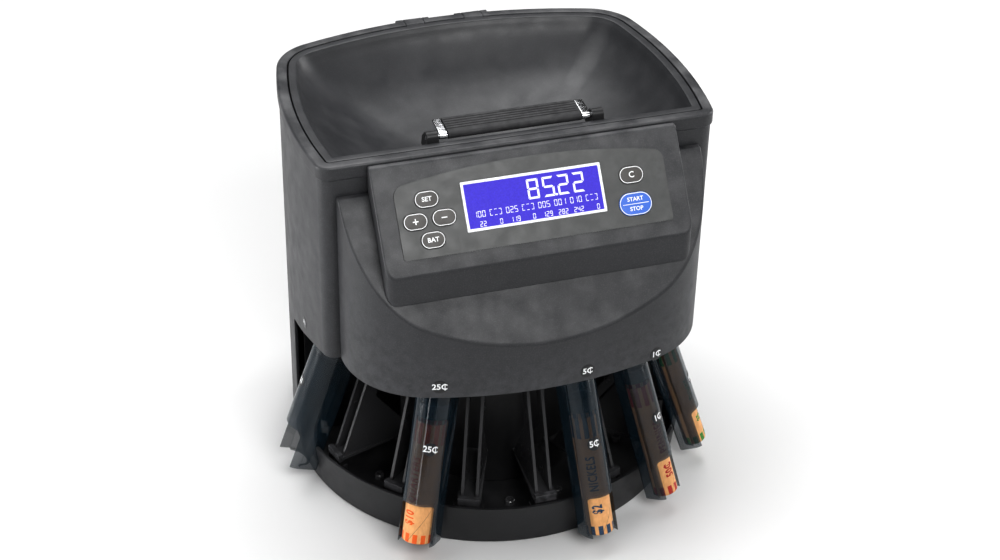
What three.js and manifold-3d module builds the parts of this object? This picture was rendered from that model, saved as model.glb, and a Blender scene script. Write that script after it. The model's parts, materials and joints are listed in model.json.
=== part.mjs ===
// Coin sorting machine, in millimetres. +Z is up and the front faces -Y.
// The origin is the middle of the round base, on the surface that the machine stands on.
import * as THREE from 'three';
import { mergeVertices } from 'three/addons/utils/BufferGeometryUtils.js';
import Module from 'manifold-3d';

const wasm = await Module();
wasm.setup();

// ---------------------------------------------------------------- driving dimensions

const GAP = 0.3; // left between pieces that touch
const WALL = 3; // housing wall

// casing plan: straight front, two bowed sides and a bowed back
const FRONT_Y = -80.5;
const SIDE_BOW = { x: -231.5, y: -5, r: 400 };
const BACK_BOW = { y: -270, r: 414 };
const FRONT_CORNER_R = 12;
const REAR_CORNER_R = 45;

// heights
const RIM_TOP = 331;
const RIM_BOTTOM = 319;
const SHELL_BOTTOM = 2;
const BAY_TOP = 153.5; // underside of the front cover
const DECK_Z = 160; // mechanism deck
const DECK_T = 3;
const CHUTE_TOP = 189;
const RAIL_TOP = 192.3;
const COLLAR_TOP = 258;

// rim and hopper
const RIM_INSET = 1.5; // casing wall set back under the rim
const RIM_WIDTH = 9;
const LIP_INSET = 9.9;
const LIP_WIDTH = 7;
const THROAT_R = 40;
const THROAT_Z = 260;

// hopper hinge, behind the rim and below its top edge
const HINGE = { y: 145, z: 327.8, r: 2.2, bore: 1.25, pin: 1 };
const HINGE_X = 26; // middle of each hinge
const HINGE_ARM = 16; // width of the hopper's arm
const ARM_BOTTOM = 324.6; // underside of the arm where it crosses the rim
const KNUCKLE = 6; // width of each knuckle on the rim
const KNUCKLE_ROOT = 138; // the rim's knuckles end inside the rim
const ARM_ROOT = 130; // the hopper's arms end inside its lip

// handle
const GRIP = { y: -59.5, z: 333.5, halfLength: 54.6, depth: 20, nose: 3.3, rear: 4.8 };
const CAP_WIDTH = 7.6;
const LUG_WIDTH = 9.5;

// sorting ring and tube stations
const SPIN_Y = -15; // spindle, set back from the base's centre
const STATIONS = 8;
const PITCH = THREE.MathUtils.degToRad(24.6);
const TILT = THREE.MathUtils.degToRad(20); // tubes lean inwards
const TUBE_FOOT_R = 182;
const TUBE_FOOT_Z = 17;
const TUBE_TOP_Z = 152;
const CHUTE_R = 126;
const CHUTE_HOLE_R = 14.5;

// base
const BASE_FOOT_R = 166.6;
const BASE_RIM_R = 171;
const BASE_HEIGHT = 38;
const FLOOR_T = 5;
const FOOT_R = 9;
const FOOT_T = 2;
const FEET = [[-100, -95], [100, -95], [-120, 95], [120, 95]];

// rear panel, with the mains inlet, the power switch and a row of vents
const PANEL = { half: 100, z0: 22, z1: 232 };
const INLET = { x: -16, w: 28, z0: 40, z1: 61, y0: 118, y1: 143 };
const SWITCH = { x: 16, z: 50.5, w: 15, h: 21, y: 139.5, rest: THREE.MathUtils.degToRad(8) };
const VENTS = { count: 7, half: 40, z0: 150, height: 4, pitch: 9 };

// drive
const PULLEY_R = 30;
const PINION_R = 8;
const MOTOR_Y = 46;
const MOTOR_R = 20;
const BELT_Z = 169.5;
const BELT_WIDTH = 7;
const BELT_T = 1.8;
const SHAFT_R = 5;
const DISC_R = 93.5;

// walls between the tube bay and the room behind it
const BULKHEAD = { half: 158, y0: 20, y1: 23 };
const COLUMN_R = 80;

// console: face slope from the horizontal, and its top and bottom edges
const SLOPE = THREE.MathUtils.degToRad(53.07);
const CONSOLE = { half: 125, backY: -81, topY: -86.1, topZ: 329.3, frontY: -138, corner: 8, wall: 2.5 };
const COVER = { topY: -85.4, topZ: 304.1, edgeY: -163, edgeZ: 200 };

// display and keys, placed by x and by distance v down the face
const DISPLAY = { half: 56.8, v0: 20.4, v1: 59.3 };
const LABEL = { half: 109.5, v0: 8.6, vSide: 17, v1: 73.7, t: 0.8, corner: 9 };
const KEYS = [
  { name: 'key_set', x: -84.6, v: 29.3, w: 19, h: 12.8 },
  { name: 'key_plus', x: -96, v: 45.2, w: 19, h: 12.8 },
  { name: 'key_minus', x: -73.2, v: 44.9, w: 19, h: 12.8 },
  { name: 'key_bat', x: -84.6, v: 60.7, w: 19, h: 12.8 },
  { name: 'key_clear', x: 80.8, v: 34, w: 20, h: 13.4 },
  { name: 'key_start_stop', x: 80.5, v: 56.9, w: 27, h: 18 },
];

// coin tubes: station counted from the machine's left, bore radius, paper wrapper or not
const TUBES = [
  { coin: 'dollar', station: 0, bore: 14.3, wrapper: false },
  { coin: 'quarter', station: 2, bore: 13.2, wrapper: true },
  { coin: 'nickel', station: 4, bore: 11.7, wrapper: true },
  { coin: 'penny', station: 5, bore: 10.6, wrapper: true },
  { coin: 'dime', station: 6, bore: 10, wrapper: true },
];
const TUBE_WALL = 2.5; // at the tube's front and sides
const GATE_HEIGHT = 36; // opening at the tube's foot
const GATE_ROOM = 0.3; // half-width of that opening beyond the bore
const TUBE_FLOOR = 1.4;
const WRAPPER_LENGTH = 105;
const WRAPPER_T = 0.9;
const KEY_ARC = 3; // segments in each quarter of a key's outline

// ---------------------------------------------------------------- colours

const finish = (color, roughness, metalness = 0, opacity = 1) => new THREE.MeshStandardMaterial({
  color, roughness, metalness, opacity, transparent: opacity < 1,
});
const CHARCOAL = finish(0x3b3c40, 0.62);
const DARK = finish(0x141416, 0.5);
const SMOKED = finish(0x20242c, 0.15, 0, 0.6);
const LABEL_GREY = finish(0x5b5d5c, 0.5);
const PAPER = finish(0xf0b47c, 0.85);
const RUBBER = finish(0x1b1b1c, 0.9);
const CHROME = finish(0xdadde0, 0.12, 1);
const STEEL = finish(0xb4b7ba, 0.35, 1);
const BRASS = finish(0xb99a52, 0.35, 1);
const CIRCUIT = finish(0x1f5a3a, 0.6);
const LCD = finish(0x4f45e8, 0.2);
const BLUE = finish(0x2f6ad0, 0.45);

// ---------------------------------------------------------------- solids

const machine = new THREE.Group();

function add(name, geometry, material, parent = machine) {
  const mesh = new THREE.Mesh(geometry, material);
  mesh.name = name;
  parent.add(mesh);
  return mesh;
}

function solidOf(geometry) {
  const bare = geometry.clone();
  bare.deleteAttribute('normal');
  bare.deleteAttribute('uv');
  const merged = mergeVertices(bare, 1e-4);
  return new wasm.Manifold(new wasm.Mesh({
    numProp: 3,
    vertProperties: new Float32Array(merged.attributes.position.array),
    triVerts: new Uint32Array(merged.index.array),
  }));
}

function geometryOf(solid) {
  const mesh = solid.getMesh();
  const geometry = new THREE.BufferGeometry();
  geometry.setAttribute('position', new THREE.BufferAttribute(mesh.vertProperties, 3));
  geometry.setIndex(new THREE.BufferAttribute(mesh.triVerts, 1));
  return geometry;
}

const combine = (operation) => (geometry, ...others) => geometryOf(
  others.reduce((solid, other) => solid[operation](solidOf(other)), solidOf(geometry)),
);
const join = combine('add');
const cut = combine('subtract');
const keep = combine('intersect');

// shapes drawn in the XY plane, raised from z0 to z1
function raise(shape, z0, z1, curveSegments = 8) {
  const geometry = new THREE.ExtrudeGeometry(shape, { depth: z1 - z0, bevelEnabled: false, curveSegments });
  return geometry.translate(0, 0, z0);
}

// shapes drawn as a side view, with (y, z) points, and drawn out from x0 to x1
const SIDE_VIEW = new THREE.Matrix4().makeBasis(
  new THREE.Vector3(0, 1, 0), new THREE.Vector3(0, 0, 1), new THREE.Vector3(1, 0, 0),
);
function drawAcross(shape, x0, x1, curveSegments = 8) {
  return raise(shape, x0, x1, curveSegments).applyMatrix4(SIDE_VIEW);
}

function block(x0, x1, y0, y1, z0, z1) {
  return new THREE.BoxGeometry(x1 - x0, y1 - y0, z1 - z0)
    .translate((x0 + x1) / 2, (y0 + y1) / 2, (z0 + z1) / 2);
}

function rod(radius, z0, z1, segments = 24) {
  return new THREE.CylinderGeometry(radius, radius, z1 - z0, segments)
    .rotateX(Math.PI / 2).translate(0, 0, (z0 + z1) / 2);
}

const crossRod = (radius, x0, x1, y, z) => rod(radius, x0, x1, 12).applyMatrix4(SIDE_VIEW)
  .translate(0, y, z);

// a turned piece: [radius, height] pairs, closed where the profile leaves the axis
function turn(profile, segments = 32) {
  const points = profile.map(([r, z]) => new THREE.Vector2(r, z));
  const closed = points[0].x > 0 || points[points.length - 1].x > 0;
  if (closed) points.push(points[0].clone());
  return new THREE.LatheGeometry(points, segments).rotateX(Math.PI / 2);
}

const polygon = (points) => new THREE.Shape(points.map(([x, y]) => new THREE.Vector2(x, y)));

// a skin through loops of equally many points; the last loop joins the first
function loft(loops) {
  const count = loops[0].length;
  const index = [];
  loops.forEach((_, i) => {
    const a = i * count;
    const b = ((i + 1) % loops.length) * count;
    for (let j = 0; j < count; j += 1) {
      const k = (j + 1) % count;
      index.push(a + j, b + j, b + k, a + j, b + k, a + k);
    }
  });
  const geometry = new THREE.BufferGeometry();
  geometry.setAttribute('position', new THREE.Float32BufferAttribute(loops.flat(2), 3));
  geometry.setIndex(index);
  return geometry;
}

// ---------------------------------------------------------------- outlines

function arcPoints(cx, cy, r, from, to, steps) {
  return Array.from({ length: steps + 1 }, (_, i) => {
    const angle = from + ((to - from) * i) / steps;
    return [cx + r * Math.cos(angle), cy + r * Math.sin(angle)];
  });
}

// the casing's plan, set in by an even distance; runs anticlockwise from the front
function casingPlan(inset) {
  const front = Math.max(FRONT_CORNER_R - inset, 2);
  const rear = Math.max(REAR_CORNER_R - inset, 12);
  const side = SIDE_BOW.r - inset;
  const back = BACK_BOW.r - inset;
  const frontY = FRONT_Y + inset + front;
  const frontX = SIDE_BOW.x + Math.sqrt((side - front) ** 2 - (frontY - SIDE_BOW.y) ** 2);
  // the rear corner touches both bows, so its centre is where two circles cross
  const ra = side - rear;
  const rb = back - rear;
  const dx = -SIDE_BOW.x;
  const dy = BACK_BOW.y - SIDE_BOW.y;
  const d = Math.hypot(dx, dy);
  const along = (ra ** 2 - rb ** 2 + d ** 2) / (2 * d);
  const across = Math.sqrt(ra ** 2 - along ** 2);
  const rearX = SIDE_BOW.x + (along * dx - across * dy) / d;
  const rearY = SIDE_BOW.y + (along * dy + across * dx) / d;
  const sideFrom = Math.atan2(frontY - SIDE_BOW.y, frontX - SIDE_BOW.x);
  const sideTo = Math.atan2(rearY - SIDE_BOW.y, rearX - SIDE_BOW.x);
  const backFrom = Math.atan2(rearY - BACK_BOW.y, rearX);
  const half = [
    ...arcPoints(frontX, frontY, front, -Math.PI / 2, sideFrom, 4),
    ...arcPoints(SIDE_BOW.x, SIDE_BOW.y, side, sideFrom, sideTo, 5).slice(1),
    ...arcPoints(rearX, rearY, rear, sideTo, backFrom, 6).slice(1),
    ...arcPoints(0, BACK_BOW.y, back, backFrom, Math.PI / 2, 4).slice(1, -1),
  ];
  const mirrored = half.map(([x, y]) => [-x, y]).reverse();
  return [...half, [0, BACK_BOW.y + back], ...mirrored];
}

// an upright wall that follows the casing's plan
function casingRing(insetOut, insetIn, z0, z1) {
  const shape = polygon(casingPlan(insetOut));
  shape.holes.push(new THREE.Path(polygon(casingPlan(insetIn)).getPoints()));
  return raise(shape, z0, z1);
}

// the front cover's plan: a wide front arc and two rounded corners that run back to the casing
function coverPlan(inset) {
  const y0 = FRONT_Y + RIM_INSET - GAP;
  const side = 149 - inset;
  const bow = 338 - inset;
  const edge = 95 - inset * 0.3;
  const arcY = (x) => 173 - Math.sqrt(bow ** 2 - x ** 2);
  const lean = edge / Math.sqrt(bow ** 2 - edge ** 2);
  const shape = new THREE.Shape();
  shape.moveTo(-side, y0);
  shape.bezierCurveTo(-side - 1, -113 + inset, -edge - 35, arcY(edge) + 35 * lean, -edge, arcY(edge));
  shape.absarc(0, 173, bow, Math.PI * 1.5 - Math.asin(edge / bow), Math.PI * 1.5 + Math.asin(edge / bow));
  shape.bezierCurveTo(edge + 35, arcY(edge) + 35 * lean, side + 1, -113 + inset, side, y0);
  return shape;
}

// ---------------------------------------------------------------- stations

const stationAngle = (k) => (k - (STATIONS - 1) / 2) * PITCH;
const axisRadius = (z) => TUBE_FOOT_R - (z - TUBE_FOOT_Z) * Math.tan(TILT);

// a group turned to a bearing round the spindle: local -Y points outwards
function bearingGroup(angle) {
  const group = new THREE.Group();
  group.position.set(0, SPIN_Y, 0);
  group.rotation.z = angle;
  machine.add(group);
  return group;
}

// a group on a station's tube axis: local Z runs up the tube, local -Y faces outwards
function tubeGroup(station) {
  const group = new THREE.Group();
  group.position.set(0, -TUBE_FOOT_R, TUBE_FOOT_Z);
  group.rotation.x = -TILT;
  bearingGroup(stationAngle(station)).add(group);
  return group;
}

const placedLike = (geometry, group) => {
  group.updateWorldMatrix(true, false);
  return geometry.clone().applyMatrix4(group.matrixWorld);
};

// ---------------------------------------------------------------- base

// the room that a tube needs where it crosses the base's wall
// the space that a tube needs to stand and swing through the base's wall
function tubeRoom(bore) {
  const half = bore + TUBE_WALL + 1;
  return block(-half, half, -bore - 9, bore + WALL + 2.5, -30, 70);
}

function buildBase() {
  const ring = turn([
    [0, 0], [BASE_FOOT_R, 0], [BASE_RIM_R, BASE_HEIGHT], [BASE_RIM_R - WALL, BASE_HEIGHT],
    [BASE_FOOT_R - WALL, FLOOR_T], [0, FLOOR_T],
  ], 64);
  const frontHalf = keep(ring, block(-200, 200, -200, 17, -1, 60));
  const rearFloor = keep(raise(polygon(casingPlan(RIM_INSET + WALL + 0.5)), 0, FLOOR_T),
    block(-200, 200, 10, 200, -1, 60));
  const rooms = TUBES.map(({ station, bore }) => placedLike(tubeRoom(bore), tubeGroup(station)));
  rooms.push(placedLike(tubeRoom(TUBES[0].bore), tubeGroup(STATIONS - 1)));
  const feet = FEET.map(([x, y]) => rod(FOOT_R + GAP, -1, FOOT_T + GAP, 16).translate(x, y, 0));
  add('base_tray', cut(join(frontHalf, rearFloor), ...rooms, ...feet), DARK);
  FEET.forEach(([x, y], i) => add(`foot_${i + 1}`, rod(FOOT_R, 0, FOOT_T, 16).translate(x, y, 0), RUBBER));
}

// ---------------------------------------------------------------- casing

function buildCasing() {
  const wall = casingRing(RIM_INSET, RIM_INSET + WALL, SHELL_BOTTOM, RIM_BOTTOM - GAP);
  // open below the front cover, and rising towards the front on each side
  const bayProfile = polygon([[-120, -5], [18, -5], [18, 130], [-42, 147], [-70, 153], [-120, 153]]);
  const bay = drawAcross(bayProfile, -200, 200);
  const frontWindow = block(-140, 140, -100, -60, 100, 300);
  const panelHole = block(-PANEL.half, PANEL.half, 100, 200, PANEL.z0, PANEL.z1);
  add('housing_shell', cut(wall, bay, frontWindow, panelHole), CHARCOAL);

  const plate = keep(casingRing(RIM_INSET, RIM_INSET + WALL, PANEL.z0 + GAP, PANEL.z1 - GAP),
    block(GAP - PANEL.half, PANEL.half - GAP, 100, 200, 0, 300));
  const vents = Array.from({ length: VENTS.count }, (_, i) => block(-VENTS.half, VENTS.half, 100, 200,
    VENTS.z0 + i * VENTS.pitch, VENTS.z0 + VENTS.height + i * VENTS.pitch));
  const inletHole = block(INLET.x - INLET.w / 2, INLET.x + INLET.w / 2, 100, 200, INLET.z0, INLET.z1);
  const switchHole = block(SWITCH.x - SWITCH.w / 2, SWITCH.x + SWITCH.w / 2, 100, 200,
    SWITCH.z - SWITCH.h / 2, SWITCH.z + SWITCH.h / 2);
  add('rear_panel', cut(plate, ...vents, inletHole, switchHole), CHARCOAL);
}

function buildInlet() {
  const body = block(INLET.x - INLET.w / 2 + GAP, INLET.x + INLET.w / 2 - GAP, INLET.y0, INLET.y1,
    INLET.z0 + GAP, INLET.z1 - GAP);
  const socket = block(INLET.x - 12, INLET.x + 12, INLET.y0 + 6, INLET.y1 + 1, INLET.z0 + 3, INLET.z1 - 3);
  const middle = (INLET.z0 + INLET.z1) / 2;
  const pins = [[-7, -2], [0, 2.5], [7, -2]].map(([x, z]) => block(
    INLET.x + x - 1, INLET.x + x + 1, INLET.y0 + 5, INLET.y1 - 4, middle + z - 2, middle + z + 2,
  ));
  add('power_inlet', join(cut(body, socket), ...pins), DARK);

  const pivot = new THREE.Group();
  pivot.position.set(SWITCH.x, SWITCH.y, SWITCH.z);
  pivot.rotation.x = SWITCH.rest;
  machine.add(pivot);
  const rocker = polygon([[-7, -4], [0, -7], [7, -4], [9.4, 2.6], [0, 1.2], [-9.4, 2.6]]);
  const half = SWITCH.w / 2 - 0.5;
  const upright = drawAcross(rocker, -half, half).rotateX(-Math.PI / 2);
  add('switch_rocker', upright, RUBBER, pivot);
}

// ---------------------------------------------------------------- rim and hopper

function hingeKnuckle(x0, x1, reachY) {
  const shape = new THREE.Shape();
  shape.moveTo(reachY, HINGE.z - HINGE.r);
  shape.absarc(HINGE.y, HINGE.z, HINGE.r, -Math.PI / 2, Math.PI / 2);
  shape.lineTo(reachY, HINGE.z + HINGE.r);
  return drawAcross(shape, x0, x1, 6);
}

function buildRim() {
  const ring = casingRing(0, RIM_WIDTH, RIM_BOTTOM, RIM_TOP);
  const knuckles = [];
  const notches = [];
  const inner = HINGE_ARM / 2 + 0.5;
  [-HINGE_X, HINGE_X].forEach((x) => {
    knuckles.push(hingeKnuckle(x - inner - KNUCKLE, x - inner, KNUCKLE_ROOT));
    knuckles.push(hingeKnuckle(x + inner, x + inner + KNUCKLE, KNUCKLE_ROOT));
    notches.push(block(x - inner, x + inner, 110, 160, ARM_BOTTOM - 0.5, RIM_TOP + 1));
    notches.push(crossRod(HINGE.bore, x - 18, x + 18, HINGE.y, HINGE.z));
  });
  add('top_rim', cut(join(ring, ...knuckles), ...notches), CHARCOAL);
  [['left', -HINGE_X], ['right', HINGE_X]].forEach(([side, x]) => {
    const reach = inner + KNUCKLE - 0.5;
    add(`hopper_hinge_pin_${side}`, crossRod(HINGE.pin, x - reach, x + reach, HINGE.y, HINGE.z), STEEL);
  });
}

// a casing outline blended towards the round throat; blend 0 is the outline, 1 the throat
function bowlLoop(inset, radius, blend, z) {
  const outline = casingPlan(inset);
  // the straight front edge is divided too, so that the throat comes out round there
  const [frontX, frontY] = outline[0];
  const front = [-0.66, -0.38, -0.18, 0, 0.18, 0.38, 0.66].map((share) => [frontX * share, frontY]);
  return [...outline, ...front].map(([x, y]) => {
    const angle = Math.atan2(y - SPIN_Y, x);
    const tx = radius * Math.cos(angle);
    const ty = SPIN_Y + radius * Math.sin(angle);
    return [x + (tx - x) * blend, y + (ty - y) * blend, z];
  });
}

function buildHopper() {
  const inner = LIP_INSET + LIP_WIDTH;
  const skin = 2.5;
  const lipTop = RIM_TOP - 0.3;
  const lipBottom = lipTop - 8;
  const bowl = loft([
    bowlLoop(inner, THROAT_R, 1, THROAT_Z),
    bowlLoop(inner, THROAT_R, 1, THROAT_Z + 6),
    bowlLoop(inner, THROAT_R, 0.62, THROAT_Z + 17),
    bowlLoop(inner, THROAT_R, 0.3, THROAT_Z + 34),
    bowlLoop(inner, THROAT_R, 0.08, THROAT_Z + 56),
    bowlLoop(inner, THROAT_R, 0, lipTop),
    bowlLoop(LIP_INSET, THROAT_R, 0, lipTop),
    bowlLoop(LIP_INSET, THROAT_R, 0, lipBottom),
    bowlLoop(LIP_INSET + skin, THROAT_R, 0, lipBottom),
    bowlLoop(inner, THROAT_R + skin, 0.02, lipBottom - 2),
    bowlLoop(inner, THROAT_R + skin, 0.3, THROAT_Z + 30),
    bowlLoop(inner, THROAT_R + skin, 0.62, THROAT_Z + 13),
    bowlLoop(inner, THROAT_R + skin, 0.99, THROAT_Z + 4),
    bowlLoop(inner, THROAT_R + skin, 1, THROAT_Z),
  ]);
  const lugs = [-1, 1].map((side) => {
    const x0 = side * (GRIP.halfLength + CAP_WIDTH + 0.8);
    const x1 = x0 + side * LUG_WIDTH;
    const shape = new THREE.Shape();
    shape.moveTo(-66, 314);
    shape.lineTo(-47, 322);
    shape.lineTo(-49, 330);
    shape.lineTo(GRIP.y + 3, GRIP.z + 3.6);
    shape.absarc(GRIP.y, GRIP.z, 4.6, 0.9, Math.PI);
    shape.lineTo(-66, 326);
    const lug = drawAcross(shape, Math.min(x0, x1), Math.max(x0, x1), 5);
    return cut(lug, crossRod(2.3, Math.min(x0, x1) - 1, Math.max(x0, x1) + 1, GRIP.y, GRIP.z));
  });
  // each arm carries the piece of rim that closes its notch
  const arms = [-HINGE_X, HINGE_X].map((x) => {
    const x0 = x - HINGE_ARM / 2;
    const x1 = x + HINGE_ARM / 2;
    const arm = hingeKnuckle(x0, x1, ARM_ROOT);
    const rimPiece = keep(casingRing(0, RIM_WIDTH, RIM_BOTTOM, RIM_TOP),
      block(x0, x1, 110, 160, ARM_BOTTOM, RIM_TOP));
    return cut(join(arm, rimPiece), crossRod(HINGE.bore, x0 - 5, x1 + 5, HINGE.y, HINGE.z));
  });
  add('hopper_tray', join(bowl, ...lugs, ...arms), CHARCOAL);
}

function gripProfile(shrink) {
  const nose = GRIP.nose - shrink;
  const depth = GRIP.depth - shrink;
  const shape = new THREE.Shape();
  shape.moveTo(0, -nose);
  shape.lineTo(depth - 2, -nose);
  shape.lineTo(depth, 2 - nose);
  shape.lineTo(depth, GRIP.rear - shrink - 2);
  shape.lineTo(depth - 2, GRIP.rear - shrink);
  shape.lineTo(0, nose);
  shape.absarc(0, 0, nose, Math.PI / 2, Math.PI * 1.5);
  return shape;
}

function buildHandle() {
  const place = (geometry) => geometry.translate(0, GRIP.y, GRIP.z);
  add('handle_grip', place(drawAcross(gripProfile(0), -GRIP.halfLength, GRIP.halfLength)), RUBBER);
  [['left', -1], ['right', 1]].forEach(([name, side]) => {
    const x0 = side * (GRIP.halfLength + GAP);
    const x1 = side * (GRIP.halfLength + CAP_WIDTH);
    const cap = drawAcross(gripProfile(0.4), Math.min(x0, x1), Math.max(x0, x1));
    const end = side * (GRIP.halfLength + CAP_WIDTH + LUG_WIDTH);
    const pin = crossRod(2, Math.min(x1, end) - 0.5, Math.max(x1, end) + 0.5, 0, 0);
    add(`handle_cap_${name}`, place(join(cap, pin)), CHROME);
  });
}

// ---------------------------------------------------------------- front cover and console

const slopeZ = (y, drop) => COVER.topZ - drop
  - ((COVER.topY - y) * (COVER.topZ - COVER.edgeZ)) / (COVER.topY - COVER.edgeY);

// everything below the sloped deck, as a side view
function belowDeck(drop, z0) {
  return polygon([
    [-60, z0], [-60, COVER.topZ - drop], [COVER.topY, COVER.topZ - drop],
    [-190, slopeZ(-190, drop)], [-190, z0],
  ]);
}

function buildCover() {
  const top = 320;
  const outer = keep(raise(coverPlan(0), BAY_TOP, top, 12), drawAcross(belowDeck(0, 100), -200, 200));
  const innerPlan = raise(coverPlan(WALL), BAY_TOP - 5, top, 12);
  const room = keep(innerPlan, drawAcross(belowDeck(5, 100), -200, 200));
  const backOpen = block(-139, 139, -90, -70, BAY_TOP - 5, 298);
  add('front_cover', cut(outer, room, backOpen), CHARCOAL);
}

// the face's own frame: x across, v down the slope, n out of the face
const FACE = new THREE.Matrix4().makeRotationX(SLOPE).setPosition(0, CONSOLE.topY, CONSOLE.topZ);
const onFace = (geometry) => geometry.applyMatrix4(FACE);

function roundedBox(cx, v, w, h, r) {
  const shape = new THREE.Shape();
  const x0 = cx - w / 2 + r;
  const x1 = cx + w / 2 - r;
  const y0 = -v - h / 2 + r;
  const y1 = -v + h / 2 - r;
  shape.absarc(x1, y0, r, -Math.PI / 2, 0);
  shape.absarc(x1, y1, r, 0, Math.PI / 2);
  shape.absarc(x0, y1, r, Math.PI / 2, Math.PI);
  shape.absarc(x0, y0, r, Math.PI, Math.PI * 1.5);
  return shape;
}
const keyShape = (key, grow) => roundedBox(key.x, key.v, key.w + 2 * grow, key.h + 2 * grow,
  key.h / 2 + grow - 0.05);
const displayShape = (grow) => polygon([
  [-DISPLAY.half - grow, -DISPLAY.v1 - grow], [DISPLAY.half + grow, -DISPLAY.v1 - grow],
  [DISPLAY.half + grow, -DISPLAY.v0 + grow], [-DISPLAY.half - grow, -DISPLAY.v0 + grow],
]);

function buildConsole() {
  const side = (wall) => {
    const drop = Math.tan(SLOPE) * (CONSOLE.topY - CONSOLE.frontY);
    const top = CONSOLE.topZ - wall;
    const lift = GAP / Math.cos(SLOPE) + (wall ? -20 : 0);
    return polygon([
      [CONSOLE.backY - wall, slopeZ(CONSOLE.backY, -lift)],
      [CONSOLE.backY - wall, top],
      [CONSOLE.topY + wall * 0.3, top],
      [CONSOLE.frontY + wall, top - drop + wall * 0.5],
      [CONSOLE.frontY + wall, slopeZ(CONSOLE.frontY, -lift)],
    ]);
  };
  const plan = (wall) => {
    const r = CONSOLE.corner - wall;
    const x = CONSOLE.half - wall - r;
    const y = CONSOLE.frontY + wall + r;
    const shape = new THREE.Shape();
    shape.moveTo(CONSOLE.half - wall, -60);
    shape.lineTo(wall - CONSOLE.half, -60);
    shape.absarc(-x, y, r, Math.PI, Math.PI * 1.5);
    shape.absarc(x, y, r, Math.PI * 1.5, Math.PI * 2);
    return shape;
  };
  const outer = keep(drawAcross(side(0), -CONSOLE.half, CONSOLE.half), raise(plan(0), 200, 340));
  const room = keep(drawAcross(side(CONSOLE.wall), -CONSOLE.half, CONSOLE.half),
    raise(plan(CONSOLE.wall), 200, 340));
  const aboveDeck = cut(outer, room);
  const play = 0.8;
  const holes = KEYS.map((key) => onFace(block(
    key.x - key.w / 2 - play, key.x + key.w / 2 + play,
    -key.v - key.h / 2 - play, -key.v + key.h / 2 + play, -8, 3,
  )));
  holes.push(onFace(raise(displayShape(-3), -8, 3)));
  add('console', cut(aboveDeck, ...holes), CHARCOAL);
}

function buildControls() {
  // the label's top edge bows upwards between two rounded corners
  const label = new THREE.Shape();
  const r = LABEL.corner;
  const shoulder = LABEL.half - r;
  label.moveTo(-LABEL.half, -LABEL.v1);
  label.lineTo(LABEL.half, -LABEL.v1);
  label.lineTo(LABEL.half, -LABEL.vSide - r);
  label.quadraticCurveTo(LABEL.half, -LABEL.vSide, shoulder, -LABEL.vSide + 1);
  label.quadraticCurveTo(0, 1 + LABEL.vSide - 2 * LABEL.v0, -shoulder, -LABEL.vSide + 1);
  label.quadraticCurveTo(-LABEL.half, -LABEL.vSide, -LABEL.half, -LABEL.vSide - r);
  const keyHoles = KEYS.map((key) => raise(keyShape(key, 0.4), -3, 3, KEY_ARC));
  const overlay = cut(raise(label, GAP, GAP + LABEL.t), ...keyHoles, raise(displayShape(GAP), -3, 3));
  add('keypad_overlay', onFace(overlay), LABEL_GREY);

  add('display_window', onFace(raise(displayShape(0), GAP, GAP + LABEL.t)), LCD);
  const middle = (DISPLAY.v0 + DISPLAY.v1) / 2;
  const module = block(-DISPLAY.half - 2, DISPLAY.half + 2, -middle - 22, 22 - middle, -9, -3.2);
  add('display_module', onFace(module), CIRCUIT);

  KEYS.forEach((key) => {
    const colour = key.name === 'key_start_stop' ? BLUE : LABEL_GREY;
    add(key.name, onFace(raise(keyShape(key, 0), -4, LABEL.t + 0.9, KEY_ARC)), colour);
  });
}

// ---------------------------------------------------------------- mechanism

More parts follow.
